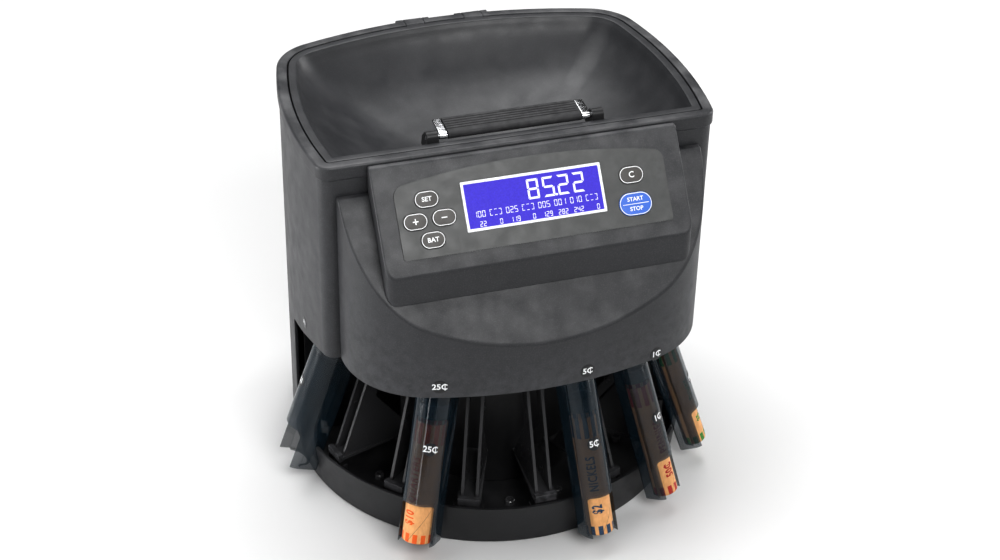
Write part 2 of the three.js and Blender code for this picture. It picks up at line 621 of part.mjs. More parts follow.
function buildMechanism() {
  const chuteRadius = axisRadius(DECK_Z + DECK_T / 2);
  const bearing = (geometry, k) => geometry.rotateZ(stationAngle(k)).translate(0, SPIN_Y, 0);
  const stations = Array.from({ length: STATIONS }, (_, k) => k);

  const rear = raise(polygon(casingPlan(RIM_INSET + WALL + 0.5)), DECK_Z, DECK_Z + DECK_T);
  const nose = keep(raise(coverPlan(WALL + 0.6), DECK_Z, DECK_Z + DECK_T),
    block(-138, 138, -200, -70, 0, 300));
  const bridge = block(-136, 136, -90, -60, DECK_Z, DECK_Z + DECK_T);
  const deckHoles = stations.map((k) => bearing(
    rod(CHUTE_HOLE_R, DECK_Z - 1, DECK_Z + DECK_T + 1, 12).translate(0, -chuteRadius, 0), k,
  ));
  add('mechanism_deck', cut(join(rear, nose, bridge), ...deckHoles,
    rod(17, DECK_Z - 1, DECK_Z + DECK_T + 1, 16).translate(0, SPIN_Y, 0),
    rod(SHAFT_R, DECK_Z - 1, DECK_Z + DECK_T + 1, 12).translate(0, MOTOR_Y, 0)), STEEL);

  const chuteBottom = DECK_Z + DECK_T + GAP;
  const chutes = turn([[108, chuteBottom], [142, chuteBottom], [142, CHUTE_TOP], [108, CHUTE_TOP]], 40)
    .translate(0, SPIN_Y, 0);
  const bores = stations.map((k) => bearing(
    rod(CHUTE_HOLE_R, 150, 200, 12).translate(0, -CHUTE_R, 0), k,
  ));
  add('chute_ring', cut(chutes, ...bores), DARK);

  // the track's slots grow wider from station to station, so that each coin drops at its own
  const track = turn([[95, CHUTE_TOP + GAP], [142, CHUTE_TOP + GAP], [142, RAIL_TOP], [95, RAIL_TOP]], 40)
    .translate(0, SPIN_Y, 0);
  const slots = stations.map((k) => {
    const width = 10 + k * 1.1;
    return bearing(block(-11, 11, -CHUTE_R - width / 2, -CHUTE_R + width / 2, 180, 200), k);
  });
  add('sorting_rail', cut(track, ...slots), STEEL);

  const cover = RAIL_TOP + GAP;
  add('coin_guide_cover', turn([
    [48.5, COLLAR_TOP], [48.5, cover + 6.4], [135.5, cover + 6.4], [135.5, cover], [138, cover],
    [138, cover + 8.9], [51, cover + 8.9], [51, COLLAR_TOP],
  ], 36).translate(0, SPIN_Y, 0), DARK);
  add('coin_sensor', block(-9, 9, 112, 134, cover, cover + 6).translate(0, SPIN_Y, 0), DARK);

  // disc with a cone-shaped hub and four low ribs that carry the coins round
  const disc = turn([
    [SHAFT_R + GAP, 189.6], [DISC_R, 189.6], [DISC_R, 193], [22, 193], [12, 202], [SHAFT_R + GAP, 202],
  ], 36);
  const ribs = [0, 1, 2, 3].map((i) => block(24, 88, -1.5, 1.5, 192.5, 196)
    .rotateZ((i * Math.PI) / 2));
  add('feed_disc', join(disc, ...ribs).translate(0, SPIN_Y, 0), STEEL);
  add('disc_spindle', rod(SHAFT_R, 128, 206, 16).translate(0, SPIN_Y, 0), STEEL);
  add('disc_pulley', pulley(PULLEY_R, SHAFT_R + GAP).translate(0, SPIN_Y, 0), DARK);
  add('spindle_bearing', turn([
    [SHAFT_R + GAP, 132], [16, 132], [16, 166], [SHAFT_R + GAP, 166],
  ], 20).translate(0, SPIN_Y, 0), BRASS);
}

// a belt pulley with a flange at each end
function pulley(radius, bore) {
  const low = BELT_Z - 0.4;
  const high = BELT_Z + BELT_WIDTH + 0.4;
  const flange = radius + BELT_T + 0.8;
  return turn([
    [bore, low - 1.2], [flange, low - 1.2], [flange, low], [radius, low],
    [radius, high], [flange, high], [flange, high + 1.2], [bore, high + 1.2],
  ], 24);
}

function buildDrive() {
  const motor = turn([
    [0, 100], [MOTOR_R, 100], [MOTOR_R, DECK_Z - GAP], [3.4, DECK_Z - GAP], [3.4, 146], [0, 146],
  ], 24);
  add('drive_motor', motor.translate(0, MOTOR_Y, 0), STEEL);
  const shaft = rod(3, 148, 186, 16);
  add('motor_pulley', join(pulley(PINION_R, 2), shaft).translate(0, MOTOR_Y, 0), BRASS);

  const span = MOTOR_Y - SPIN_Y;
  const lean = Math.acos((PULLEY_R - PINION_R) / span);
  const loop = (grow) => {
    const path = new THREE.Shape();
    path.absarc(0, SPIN_Y, PULLEY_R + grow, Math.PI / 2 + lean, Math.PI * 2.5 - lean);
    path.absarc(0, MOTOR_Y, PINION_R + grow, Math.PI / 2 - lean, Math.PI / 2 + lean);
    return path;
  };
  const belt = loop(GAP + BELT_T);
  belt.holes.push(new THREE.Path(loop(GAP).getPoints(10)));
  add('drive_belt', raise(belt, BELT_Z, BELT_Z + BELT_WIDTH, 10), RUBBER);
}

function buildElectronics() {
  const board = block(-70, 70, 122, 124, 66, 145);
  const parts = [
    block(-60, -40, 108, 123, 70, 90), block(-30, 0, 116, 123, 100, 130),
    block(20, 34, 110, 123, 110, 124), block(44, 58, 112, 123, 72, 100),
  ];
  add('main_board', join(board, ...parts), CIRCUIT);
  add('power_supply', block(-60, 30, 60, 105, FLOOR_T + GAP, 48), STEEL);
}

// ---------------------------------------------------------------- tube bay

function buildBay() {
  const floor = FLOOR_T + GAP;
  const ceiling = DECK_Z - GAP;
  add('bay_bulkhead', block(-BULKHEAD.half, BULKHEAD.half, BULKHEAD.y0, BULKHEAD.y1, floor, ceiling), DARK);
  const drum = turn([
    [COLUMN_R - WALL, floor], [COLUMN_R, floor], [COLUMN_R, ceiling], [COLUMN_R - WALL, ceiling],
  ], 40).translate(0, SPIN_Y, 0);
  add('centre_column', keep(drum, block(-100, 100, -100, BULKHEAD.y0 - GAP, 0, 200)), DARK);

  for (let k = 0; k < STATIONS - 1; k += 1) {
    const angle = stationAngle(k + 0.5);
    // the bracket reaches out to the base's wall, which is round about another centre
    const reach = 162.5;
    const tip = SPIN_Y * Math.cos(angle)
      + Math.sqrt(reach ** 2 - (SPIN_Y * Math.sin(angle)) ** 2);
    add(`tube_cradle_${k + 1}`, cradle(tip), DARK, bearingGroup(angle));
  }
}

// a shelf with two leaning fins and a turned-up tip; its outside is local -Y
function cradle(tip) {
  const root = COLUMN_R + 0.4;
  const shelfZ = BASE_HEIGHT;
  const shelf = raise(polygon([
    [-7, -root], [-10, -tip], [10, -tip], [7, -root],
  ]), shelfZ, shelfZ + 2.5);
  const lean = Math.tan(TILT);
  const rise = 110;
  const fin = polygon([
    [-tip + 3, shelfZ + 1], [-tip + 3 + rise * lean, shelfZ + rise],
    [-tip + 16 + rise * lean, shelfZ + rise], [-tip + 36, shelfZ + 52], [-root - 4, shelfZ + 1],
  ]);
  const fins = [-7.3, 4.8].map((x) => drawAcross(fin, x, x + 2.5));
  const tab = block(-9, 9, -tip - 2, -tip + 2, shelfZ - 2, shelfZ + 5);
  return join(shelf, ...fins, tab);
}

// ---------------------------------------------------------------- tubes and wrappers

// round in front, straight at the sides and back
function tubeSection(bore) {
  const half = bore + TUBE_WALL;
  const back = bore + WALL;
  const corner = 3;
  const shape = new THREE.Shape();
  shape.moveTo(half - corner, back);
  shape.lineTo(corner - half, back);
  shape.lineTo(-half, back - corner);
  shape.lineTo(-half, 0);
  shape.absarc(0, 0, half, Math.PI, Math.PI * 2);
  shape.lineTo(half, back - corner);
  return shape;
}

function buildTubes() {
  TUBES.forEach(({ coin, station, bore, wrapper }) => {
    const group = tubeGroup(station);
    const length = 160;
    const body = raise(tubeSection(bore), 0, length, 10);
    const gate = bore + GATE_ROOM;
    const opening = block(-gate, gate, -gate - 5, 1, -1, GATE_HEIGHT);
    const hollow = cut(body, rod(bore, TUBE_FLOOR, length + 1, 20), rod(bore - 2.4, -1, TUBE_FLOOR + 1, 20),
      opening);
    // the top is cut level, just under the front cover
    group.updateWorldMatrix(true, false);
    const toTube = group.matrixWorld.clone().invert();
    const level = block(-400, 400, -400, 400, -10, TUBE_TOP_Z).applyMatrix4(toTube);
    add(`tube_${coin}`, keep(hollow, level), SMOKED, group);
    if (wrapper) {
      const r = bore - 0.4;
      const bottom = TUBE_FLOOR + GAP;
      add(`wrapper_${coin}`, turn([
        [bore * 0.5, bottom], [r, bottom], [r, WRAPPER_LENGTH], [r - WRAPPER_T, WRAPPER_LENGTH],
        [r - WRAPPER_T, bottom + 1], [bore * 0.5, bottom + 1],
      ], 20), PAPER, group);
    }
  });
}

// ---------------------------------------------------------------- assembly

buildBase();
buildCasing();
buildInlet();
buildRim();
buildHopper();
buildHandle();
buildCover();
buildConsole();
buildControls();
buildMechanism();
buildDrive();
buildElectronics();
buildBay();
buildTubes();

export default machine;
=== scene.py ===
"""Coin sorting machine: the visual model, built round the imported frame.

Lengths are in millimetres until an object is made; objects are in metres.
+Z is up and the front faces -Y.
"""
import json
import math

import bmesh
import bpy
from mathutils import Matrix, Vector

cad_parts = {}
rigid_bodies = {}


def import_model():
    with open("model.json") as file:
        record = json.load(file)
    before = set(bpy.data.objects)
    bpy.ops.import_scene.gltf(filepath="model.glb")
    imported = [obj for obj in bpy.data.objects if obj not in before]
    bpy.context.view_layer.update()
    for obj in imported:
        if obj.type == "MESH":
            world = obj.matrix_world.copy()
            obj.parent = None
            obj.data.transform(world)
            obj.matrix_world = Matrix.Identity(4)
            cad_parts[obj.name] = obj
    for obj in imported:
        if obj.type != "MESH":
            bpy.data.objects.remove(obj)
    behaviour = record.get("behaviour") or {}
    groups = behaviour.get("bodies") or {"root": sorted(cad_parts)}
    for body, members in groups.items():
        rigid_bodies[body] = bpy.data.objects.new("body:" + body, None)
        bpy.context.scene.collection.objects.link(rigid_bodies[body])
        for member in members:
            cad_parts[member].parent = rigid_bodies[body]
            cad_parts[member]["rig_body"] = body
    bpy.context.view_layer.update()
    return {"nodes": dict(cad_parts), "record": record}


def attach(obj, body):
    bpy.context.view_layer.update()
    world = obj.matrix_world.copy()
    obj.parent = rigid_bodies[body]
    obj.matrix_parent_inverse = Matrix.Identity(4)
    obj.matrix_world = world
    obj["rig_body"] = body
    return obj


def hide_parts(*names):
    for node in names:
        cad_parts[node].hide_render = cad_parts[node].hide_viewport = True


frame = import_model()
MM = 0.001

# ------------------------------------------------------------------ the CAD's numbers

FRONT_Y = -80.5
SIDE_X, SIDE_Y, SIDE_R = -231.5, -5.0, 400.0
BACK_Y, BACK_R = -270.0, 414.0
FRONT_CORNER, REAR_CORNER = 12.0, 45.0
RIM_TOP, RIM_BOTTOM = 331.0, 319.0
RIM_INSET, LIP_INSET, BOWL_INSET = 9.0, 9.9, 16.9
WALL = 3.0
SPIN_Y = -15.0
PITCH = math.radians(24.6)
TILT = math.radians(20)
TUBE_FOOT_R, TUBE_FOOT_Z, TUBE_TOP_Z = 182.0, 17.0, 152.0
HINGE_Y, HINGE_Z, HINGE_X, HINGE_R, HINGE_BORE = 145.0, 327.8, 26.0, 2.2, 1.25
HINGE_ARM, KNUCKLE, ARM_BOTTOM = 16.0, 6.0, 324.6
KNUCKLE_ROOT, ARM_ROOT, NOTCH_GAP = 138.0, 130.0, 0.5
GRIP_Y, GRIP_Z, GRIP_HALF = -59.5, 333.5, 54.6
CAP_WIDTH, LUG_WIDTH = 7.6, 9.5
THROAT_R, THROAT_Z = 40.0, 260.0
SLOPE = math.radians(53.07)
CONSOLE = dict(half=125.0, back=-81.0, top_y=-86.1, top_z=329.3, front=-138.0, corner=8.0)
COVER = dict(top_y=-85.4, top_z=304.1, edge_y=-163.0, edge_z=200.0, bottom=153.5)
DISPLAY = dict(half=56.8, v0=20.4, v1=59.3)
LABEL = dict(half=109.5, v0=8.6, side=17.0, v1=73.7, corner=9.0)
KEYS = {
    "set": (-84.6, 29.3, 19.0, 12.8, "SET"),
    "plus": (-96.0, 45.2, 19.0, 12.8, "+"),
    "minus": (-73.2, 44.9, 19.0, 12.8, "-"),
    "bat": (-84.6, 60.7, 19.0, 12.8, "BAT"),
    "clear": (80.8, 34.0, 20.0, 13.4, "C"),
    "start_stop": (80.5, 56.9, 27.0, 18.0, ""),
}
TUBES = {
    "dollar": dict(station=0, bore=14.3, mark="$1", at=(77.5, -0.16)),
    "quarter": dict(station=2, bore=13.2, mark="25¢", at=(85.0, 0.40)),
    "nickel": dict(station=4, bore=11.7, mark="5¢", at=(82.5, -0.10)),
    "penny": dict(station=5, bore=10.6, mark="1¢", at=(74.5, -0.10)),
    "dime": dict(station=6, bore=10.0, mark="10¢", at=(65.5, 0.25)),
}
TUBE_WALL = 2.5
GATE_HEIGHT, GATE_ROOM = 36.0, 0.3
WRAPPER_LENGTH = 105.0

# ------------------------------------------------------------------ placing

SIDE_VIEW = Matrix(((0, 0, 1, 0), (1, 0, 0, 0), (0, 1, 0, 0), (0, 0, 0, 1)))
THROUGH_FRONT = Matrix(((1, 0, 0, 0), (0, 0, 1, 0), (0, 1, 0, 0), (0, 0, 0, 1)))
FACE = Matrix.Translation((0, CONSOLE["top_y"], CONSOLE["top_z"])) @ Matrix.Rotation(SLOPE, 4, "X")
SPINDLE = Matrix.Translation((0, SPIN_Y, 0))
OUT_OF_BACK = Matrix.Rotation(-math.pi / 2, 4, "X")
FRONT_VIEW = Matrix.Rotation(math.pi / 2, 4, "X")


def bearing(angle):
    """Frame turned round the spindle; its -Y points outwards."""
    return SPINDLE @ Matrix.Rotation(angle, 4, "Z")


def tube_frame(station):
    """Frame on a tube's axis; Z runs up the tube and -Y faces outwards."""
    lean = Matrix.Translation((0, -TUBE_FOOT_R, TUBE_FOOT_Z)) @ Matrix.Rotation(-TILT, 4, "X")
    return bearing((station - 3.5) * PITCH) @ lean


# ------------------------------------------------------------------ mesh tools

def add(name, data):
    """An object in the scene with this data."""
    obj = bpy.data.objects.new(name, data)
    bpy.context.scene.collection.objects.link(obj)
    return obj


def new_object(name, verts, faces, place=None, fix=True):
    """A mesh object from points in millimetres."""
    place = place or Matrix.Identity(4)
    mesh = bpy.data.meshes.new(name)
    mesh.from_pydata([(place @ Vector(v)) * MM for v in verts], [], faces)
    obj = add(name, mesh)
    if fix:
        edit(obj, lambda bm: bmesh.ops.recalc_face_normals(bm, faces=bm.faces))
    return obj


def edit(obj, work):
    bm = bmesh.new()
    bm.from_mesh(obj.data)
    work(bm)
    bm.to_mesh(obj.data)
    bm.free()
    obj.data.update()


def evaluated_mesh(obj):
    bpy.context.view_layer.update()
    graph = bpy.context.evaluated_depsgraph_get()
    return bpy.data.meshes.new_from_object(obj.evaluated_get(graph))


def bake(obj):
    """Apply every modifier on the object."""
    mesh = evaluated_mesh(obj)
    obj.modifiers.clear()
    old, obj.data = obj.data, mesh
    bpy.data.meshes.remove(old)
    return obj


def carve(obj, *cutters, operation="DIFFERENCE"):
    for cutter in cutters:
        step = obj.modifiers.new("cut", "BOOLEAN")
        step.operation = operation
        step.solver = "EXACT"
        step.object = cutter
    bake(obj)
    for cutter in cutters:
        bpy.data.meshes.remove(cutter.data)
    return obj


def clean(obj, angle=0.6):
    """Weld doubles and dissolve the edges inside flat faces."""
    weld = 0.004 * MM

    def work(bm):
        bmesh.ops.remove_doubles(bm, verts=bm.verts, dist=weld)
        bmesh.ops.dissolve_limit(bm, angle_limit=math.radians(angle), verts=bm.verts, edges=bm.edges)
        bmesh.ops.recalc_face_normals(bm, faces=bm.faces)
    edit(obj, work)
    return obj


def soften(obj, width, segments=2, angle=35):
    """Round the edges that turn by more than an angle."""
    step = obj.modifiers.new("edge", "BEVEL")
    step.width = width * MM
    step.segments = segments
    step.limit_method = "ANGLE"
    step.angle_limit = math.radians(angle)
    step.miter_outer = "MITER_ARC"
    return bake(obj)


def join(name, parts):
    """One object from several, keeping their shapes."""
    verts, faces = [], []
    for part in parts:
        base = len(verts)
        verts += [v.co / MM for v in part.data.vertices]
        faces += [[base + i for i in p.vertices] for p in part.data.polygons]
        bpy.data.meshes.remove(part.data)
    return new_object(name, verts, faces, fix=False)


def skin(name, loops, cyclic=True, caps=False, place=None):
    """Faces between loops of equally many points."""
    count = len(loops[0])
    faces = []
    for i in range(len(loops) if cyclic else len(loops) - 1):
        a, b = i * count, ((i + 1) % len(loops)) * count
        for j in range(count):
            k = (j + 1) % count
            faces.append((a + j, a + k, b + k, b + j))
    if caps:
        faces.append(tuple(reversed(range(count))))
        faces.append(tuple(range((len(loops) - 1) * count, len(loops) * count)))
    return new_object(name, [p for loop in loops for p in loop], faces, place)


def prism(name, outline, low, high, place=None):
    loops = [[(x, y, z) for x, y in outline] for z in (low, high)]
    return skin(name, loops, cyclic=False, caps=True, place=place)


def circle(r, steps=64, cx=0.0, cy=0.0):
    return [(cx + r * math.cos(math.tau * i / steps), cy + r * math.sin(math.tau * i / steps))
            for i in range(steps)]


def turned(name, profile, steps=64, place=None, caps=False):
    """A lathe form from (radius, height) pairs; closed unless capped at both ends."""
    loops = [[(x, y, z) for x, y in circle(r, steps)] for r, z in profile]
    return skin(name, loops, cyclic=not caps, caps=caps, place=place)


def box(name, x0, x1, y0, y1, z0, z1, place=None):
    return prism(name, [(x0, y0), (x1, y0), (x1, y1), (x0, y1)], z0, z1, place)


def arc(cx, cy, r, start, end, steps):
    return [(cx + r * math.cos(start + (end - start) * i / steps),
             cy + r * math.sin(start + (end - start) * i / steps)) for i in range(steps + 1)]


def rounded_box(cx, cy, w, h, r, steps=8):
    x, y = w / 2 - r, h / 2 - r
    points = []
    for i, (sx, sy) in enumerate(((1, -1), (1, 1), (-1, 1), (-1, -1))):
        start = math.pi / 2 * (i - 1)
        points += arc(cx + sx * x, cy + sy * y, r, start, start + math.pi / 2, steps)
    return points


# ------------------------------------------------------------------ finishes

class Finish:
    """A node material round one Principled shader."""

    def __init__(self, name, **values):
        self.material = bpy.data.materials.new(name)
        self.material.use_nodes = True
        self.tree = self.material.node_tree
        self.shader = self.tree.nodes["Principled BSDF"]
        for socket, value in values.items():
            self.shader.inputs[socket.replace("_", " ")].default_value = value
        self.coords = self.node("ShaderNodeTexCoord").outputs["Object"]

    def node(self, kind, inputs=None, **settings):
        node = self.tree.nodes.new(kind)
        for key, value in settings.items():
            setattr(node, key, value)
        for key, value in (inputs or {}).items():
            self.feed(node.inputs[key], value)
        return node

    def feed(self, socket, value):
        """Link a socket, or give it a value; a colour needs no alpha."""
        if isinstance(value, bpy.types.NodeSocket):
            self.tree.links.new(value, socket)
        elif socket.type == "RGBA":
            socket.default_value = (*value, 1.0)
        else:
            socket.default_value = value

    def set(self, socket, value):
        self.feed(self.shader.inputs[socket], value)

    def stretched(self, x, y, z):
        return self.node("ShaderNodeMapping", {"Vector": self.coords, "Scale": (x, y, z)}).outputs[0]

    def noise(self, scale, detail=3.0, roughness=0.5, vector=None):
        return self.node("ShaderNodeTexNoise", {
            "Vector": vector or self.coords, "Scale": scale, "Detail": detail, "Roughness": roughness,
        }).outputs["Fac"]

    def cells(self, scale):
        return self.node("ShaderNodeTexVoronoi", {"Vector": self.coords, "Scale": scale}).outputs["Distance"]

    def math(self, operation, a, b=0.0):
        return self.node("ShaderNodeMath", {0: a, 1: b}, operation=operation).outputs[0]

    def range(self, value, low, high, to_low=0.0, to_high=1.0):
        return self.node("ShaderNodeMapRange", {
            "Value": value, "From Min": low, "From Max": high, "To Min": to_low, "To Max": to_high,
        }).outputs[0]

    def patches(self, scale, detail, low=0.0, high=1.0):
        """Soft noise, stretched to run from low to high."""
        return self.range(self.noise(scale, detail), 0.3, 0.7, low, high)

    def mix(self, amount, a, b):
        node = self.node("ShaderNodeMix", {0: amount, 6: a, 7: b}, data_type="RGBA")
        return node.outputs[2]

    def bump(self, height, strength, distance):
        inputs = {"Height": height, "Strength": strength, "Distance": distance * MM}
        return self.node("ShaderNodeBump", inputs).outputs["Normal"]

    def edges(self):
        """1 along worn outer edges, broken up by noise."""
        geometry = self.node("ShaderNodeNewGeometry")
        worn = self.range(geometry.outputs["Pointiness"], 0.53, 0.62)
        return self.math("MULTIPLY", worn, self.range(self.noise(160, 4), 0.35, 0.65))

    def dust_and_top_light(self, amount):
        """Lighter on faces that look upwards: partly dust, partly painted light falling from above."""
        normal = self.node("ShaderNodeNewGeometry").outputs["Normal"]
        up = self.node("ShaderNodeSeparateXYZ", {0: normal}).outputs["Z"]
        lying = self.math("MULTIPLY", self.range(up, 0.3, 1.0), self.range(self.noise(45, 5), 0.4, 0.75))
        return self.math("MULTIPLY", lying, amount)


def scaled(colour, factor, lift=0.0):
    return tuple(min(1.0, c * factor + lift) for c in colour)


def moulded(name, dark, light, rough, grain=0.6, speck_and_glint=0.25, wear=0.35, top_dust_and_light=0.12, **values):
    """Moulded plastic with a fine spark-eroded grain."""
    f = Finish(name, **values)
    colour = f.mix(f.patches(11, 4), dark, light)
    scale = 1150
    fine = f.noise(scale, 3, 0.62)
    pale = scaled(light, 2.6, 0.02)
    # pale specks in the colour: painted glints, standing in for the sparkle of light on the spark-eroded
    # grain
    colour = f.mix(f.math("MULTIPLY", f.range(fine, 0.5, 0.72), speck_and_glint), colour, pale)
    colour = f.mix(f.math("MULTIPLY", f.edges(), wear), colour, pale)
    # upward faces are mixed towards a pale grey: partly dust, partly a painted sheen of light from above
    f.set("Base Color", f.mix(f.dust_and_top_light(top_dust_and_light), colour, (0.24, 0.24, 0.245)))
    f.set("Roughness", f.patches(70, 3, rough - 0.05, rough + 0.06))
    pits = f.math("ADD", fine, f.math("MULTIPLY", f.cells(scale * 0.55), 0.5))
    f.set("Normal", f.bump(pits, grain, 0.06))
    return f.material


def metal(name, colour, rough, stretch, streak=0.12, **values):
    """Metal with streaks along one direction and faint stains."""
    f = Finish(name, Metallic=1.0, **values)
    lines = f.noise(900, 2, 0.6, f.stretched(*stretch))
    stain = f.range(f.noise(28, 4), 0.35, 0.7)
    dull = scaled(colour, 0.72)
    tone = f.mix(f.math("MULTIPLY", stain, 0.4), colour, dull)
    f.set("Base Color", f.mix(f.math("MULTIPLY", lines, streak), tone, dull))
    f.set("Roughness", f.range(lines, 0.3, 0.7, rough - 0.06, rough + 0.1))
    f.set("Normal", f.bump(lines, 0.25, 0.02))
    return f.material


def smoked():
    """Clear smoked plastic, darker where the wall is seen at a slant."""
    f = Finish("smoked_plastic", Roughness=0.07, IOR=1.5)
    haze = f.range(f.noise(60, 4), 0.35, 0.7)
    f.set("Base Color", f.mix(haze, (0.006, 0.016, 0.025), (0.012, 0.025, 0.037)))
    slant = f.node("ShaderNodeLayerWeight", {"Blend": 0.35}).outputs["Facing"]
    # the tint of a wall is counted once, where the light goes in
    entering = f.math("SUBTRACT", 1.0, f.node("ShaderNodeNewGeometry").outputs["Backfacing"])
    f.set("Alpha", f.math("MULTIPLY", f.range(slant, 0.1, 0.85, 0.74, 0.99), entering))
    scuff = f.noise(500, 3, 0.6, f.stretched(1, 1, 0.12))
    f.set("Roughness", f.range(scuff, 0.35, 0.75, 0.05, 0.14))
    f.set("Normal", f.bump(f.noise(90, 2), 0.10, 0.10))
    return f.material


def printed(name, colour, rough=0.45, glow=0.0, share=1.0, **values):
    """Printed ink or paint with a slightly uneven lay; share is how much of its colour is not glow."""
    f = Finish(name, **values)
    tone = f.mix(f.patches(700, 3), scaled(colour, 0.86), colour)
    f.set("Base Color", f.mix(share, (0, 0, 0), tone))
    f.set("Roughness", f.patches(300, 2, rough - 0.06, rough + 0.06))
    f.set("Normal", f.bump(f.noise(1400, 2), 0.12, 0.02))
    if glow:
        f.set("Emission Color", tone)
        f.set("Emission Strength", glow)
    return f.material


def film(name, dark, light, glow=0.0):
    """Velvet-finish polyester film: very fine even grain, soft sheen."""
    f = Finish(name, Coat_Weight=0.12, Coat_Roughness=0.35)
    tone = f.mix(f.patches(16, 3), dark, light)
    fine = f.noise(2600, 2, 0.5)
    tone = f.mix(f.math("MULTIPLY", f.range(fine, 0.45, 0.75), 0.12), tone, tuple(c * 1.9 for c in light))
    tone = f.mix(f.math("MULTIPLY", f.edges(), 0.25), tone, scaled(light, 2.2))
    f.set("Base Color", tone)
    f.set("Roughness", f.patches(90, 3, 0.37, 0.49))
    f.set("Normal", f.bump(fine, 0.3, 0.02))
    # a glow here is painted light: the film is no lamp
    if glow:
        f.set("Emission Color", tone)
        f.set("Emission Strength", glow)
    return f.material


def rubber():
    f = Finish("rubber", Specular_IOR_Level=0.35)
    tone = f.mix(f.patches(40, 4), (0.028, 0.028, 0.030), (0.044, 0.044, 0.047))
    tone = f.mix(f.math("MULTIPLY", f.edges(), 0.4), tone, (0.09, 0.09, 0.093))
    # upward faces are a little lighter: partly dust, partly painted light from above
    f.set("Base Color", f.mix(f.dust_and_top_light(0.12), tone, (0.16, 0.16, 0.16)))
    f.set("Roughness", f.patches(220, 3, 0.52, 0.72))
    f.set("Normal", f.bump(f.noise(1500, 3), 0.4, 0.05))
    return f.material


def board():
    """Circuit board: solder mask with traces and a few bright pads."""
    f = Finish("circuit")
    weave = f.noise(1800, 2)
    trace = f.node("ShaderNodeTexBrick", {
        "Vector": f.stretched(1, 1, 1), "Scale": 150.0, "Mortar Size": 0.035,
        "Color1": (0.012, 0.085, 0.040), "Color2": (0.016, 0.105, 0.050), "Mortar": (0.035, 0.19, 0.085),
    }).outputs["Color"]
    pads = f.range(f.cells(330), 0.10, 0.13)
    f.set("Base Color", f.mix(pads, (0.62, 0.60, 0.55), trace))
    f.set("Roughness", f.range(weave, 0.3, 0.7, 0.32, 0.48))
    f.set("Normal", f.bump(weave, 0.2, 0.03))
    return f.material


def kraft(name, ink):
    """Kraft coin wrapper. Its UV map holds millimetres round and along the tube."""
    pale = (0.875, 0.50, 0.225)
    dark = (pale[0] * 0.80, pale[1] * 0.72, pale[2] * 0.66)
    stain = (pale[0] * 0.9, pale[1] * 0.78, pale[2] * 0.7)
    f = Finish(name, Sheen_Weight=0.15)
    uv = f.node("ShaderNodeUVMap", uv_map="wrap").outputs[0]
    parts = f.node("ShaderNodeSeparateXYZ", {0: uv})
    u, v = parts.outputs["X"], parts.outputs["Y"]
    fibre = f.noise(420, 4, 0.65, f.stretched(1.0, 1.0, 0.35))
    paper = f.mix(f.range(fibre, 0.3, 0.72), dark, pale)
    paper = f.mix(f.math("MULTIPLY", f.range(f.noise(35, 3), 0.45, 0.75), 0.3), paper, stain)
    bar = f.math("LESS_THAN", f.math("FRACT", f.math("DIVIDE", u, 7.0)), 0.56)
    low = f.math("LESS_THAN", v, 10.0)
    high = f.math("GREATER_THAN", v, 87.0)
    band = f.math("MULTIPLY", bar, f.math("MAXIMUM", low, high))
    faded = f.math("MULTIPLY", band, f.range(f.noise(900, 3), 0.2, 0.5, 0.8, 1.0))
    tone = f.mix(faded, paper, ink)
    # the glued edge of the paper runs up the roll in a slow spiral
    lean = f.math("SUBTRACT", u, f.math("MULTIPLY", v, 0.617))
    seam = f.math("LESS_THAN", f.math("ABSOLUTE", f.math("ADD", lean, 6.3)), 0.2)
    tone = f.mix(f.math("MULTIPLY", seam, 0.75), tone, (0.16, 0.075, 0.03))
    f.set("Base Color", tone)
    f.set("Roughness", f.range(fibre, 0.3, 0.7, 0.78, 0.92))
    f.set("Normal", f.bump(f.math("ADD", fibre, f.math("MULTIPLY", seam, -0.8)), 0.45, 0.08))
    return f.material


# the charcoal's large share of upward lightening brightens the deck and console: painted light from above
# more than dust
CHARCOAL = moulded("charcoal_plastic", (0.029, 0.030, 0.033), (0.038, 0.039, 0.043), 0.48,
                   grain=0.6, speck_and_glint=0.30, top_dust_and_light=0.50)
BOWL = moulded("charcoal_bowl", (0.032, 0.033, 0.036), (0.042, 0.043, 0.047), 0.42, grain=0.35, speck_and_glint=0.15)
DARK = moulded("dark_plastic", (0.010, 0.010, 0.011), (0.015, 0.015, 0.017), 0.42, grain=0.35, speck_and_glint=0.12)
BASE_BLACK = moulded("base_plastic", (0.013, 0.0135, 0.015), (0.019, 0.0195, 0.022), 0.40, grain=0.3,
                     speck_and_glint=0.15)
# its base colour is painted lighter than the dark plastic's, standing in for light reaching the cradles and
# bosses in the shaded tube bay; the glossy coat is real
GLOSS_BLACK_PAINTED_LIT = moulded("gloss_black_painted_lit", (0.044, 0.044, 0.047), (0.058, 0.058, 0.062), 0.22, grain=0.12,
                      speck_and_glint=0.05, wear=0.7, Coat_Weight=0.7, Coat_Roughness=0.12)
SMOKED = smoked()
LABEL_FILM = film("label_film", (0.044, 0.046, 0.046), (0.054, 0.056, 0.055))
KEY_FILM = film("key_film", (0.040, 0.036, 0.032), (0.052, 0.047, 0.042))
# the blue key glows a little though it is no lamp: painted light
KEY_BLUE = film("key_blue", (0.020, 0.115, 0.52), (0.030, 0.15, 0.62), glow=0.12)
LCD = printed("lcd", (0.115, 0.080, 0.86), rough=0.5, glow=0.92, share=0.06, Specular_IOR_Level=0.15)
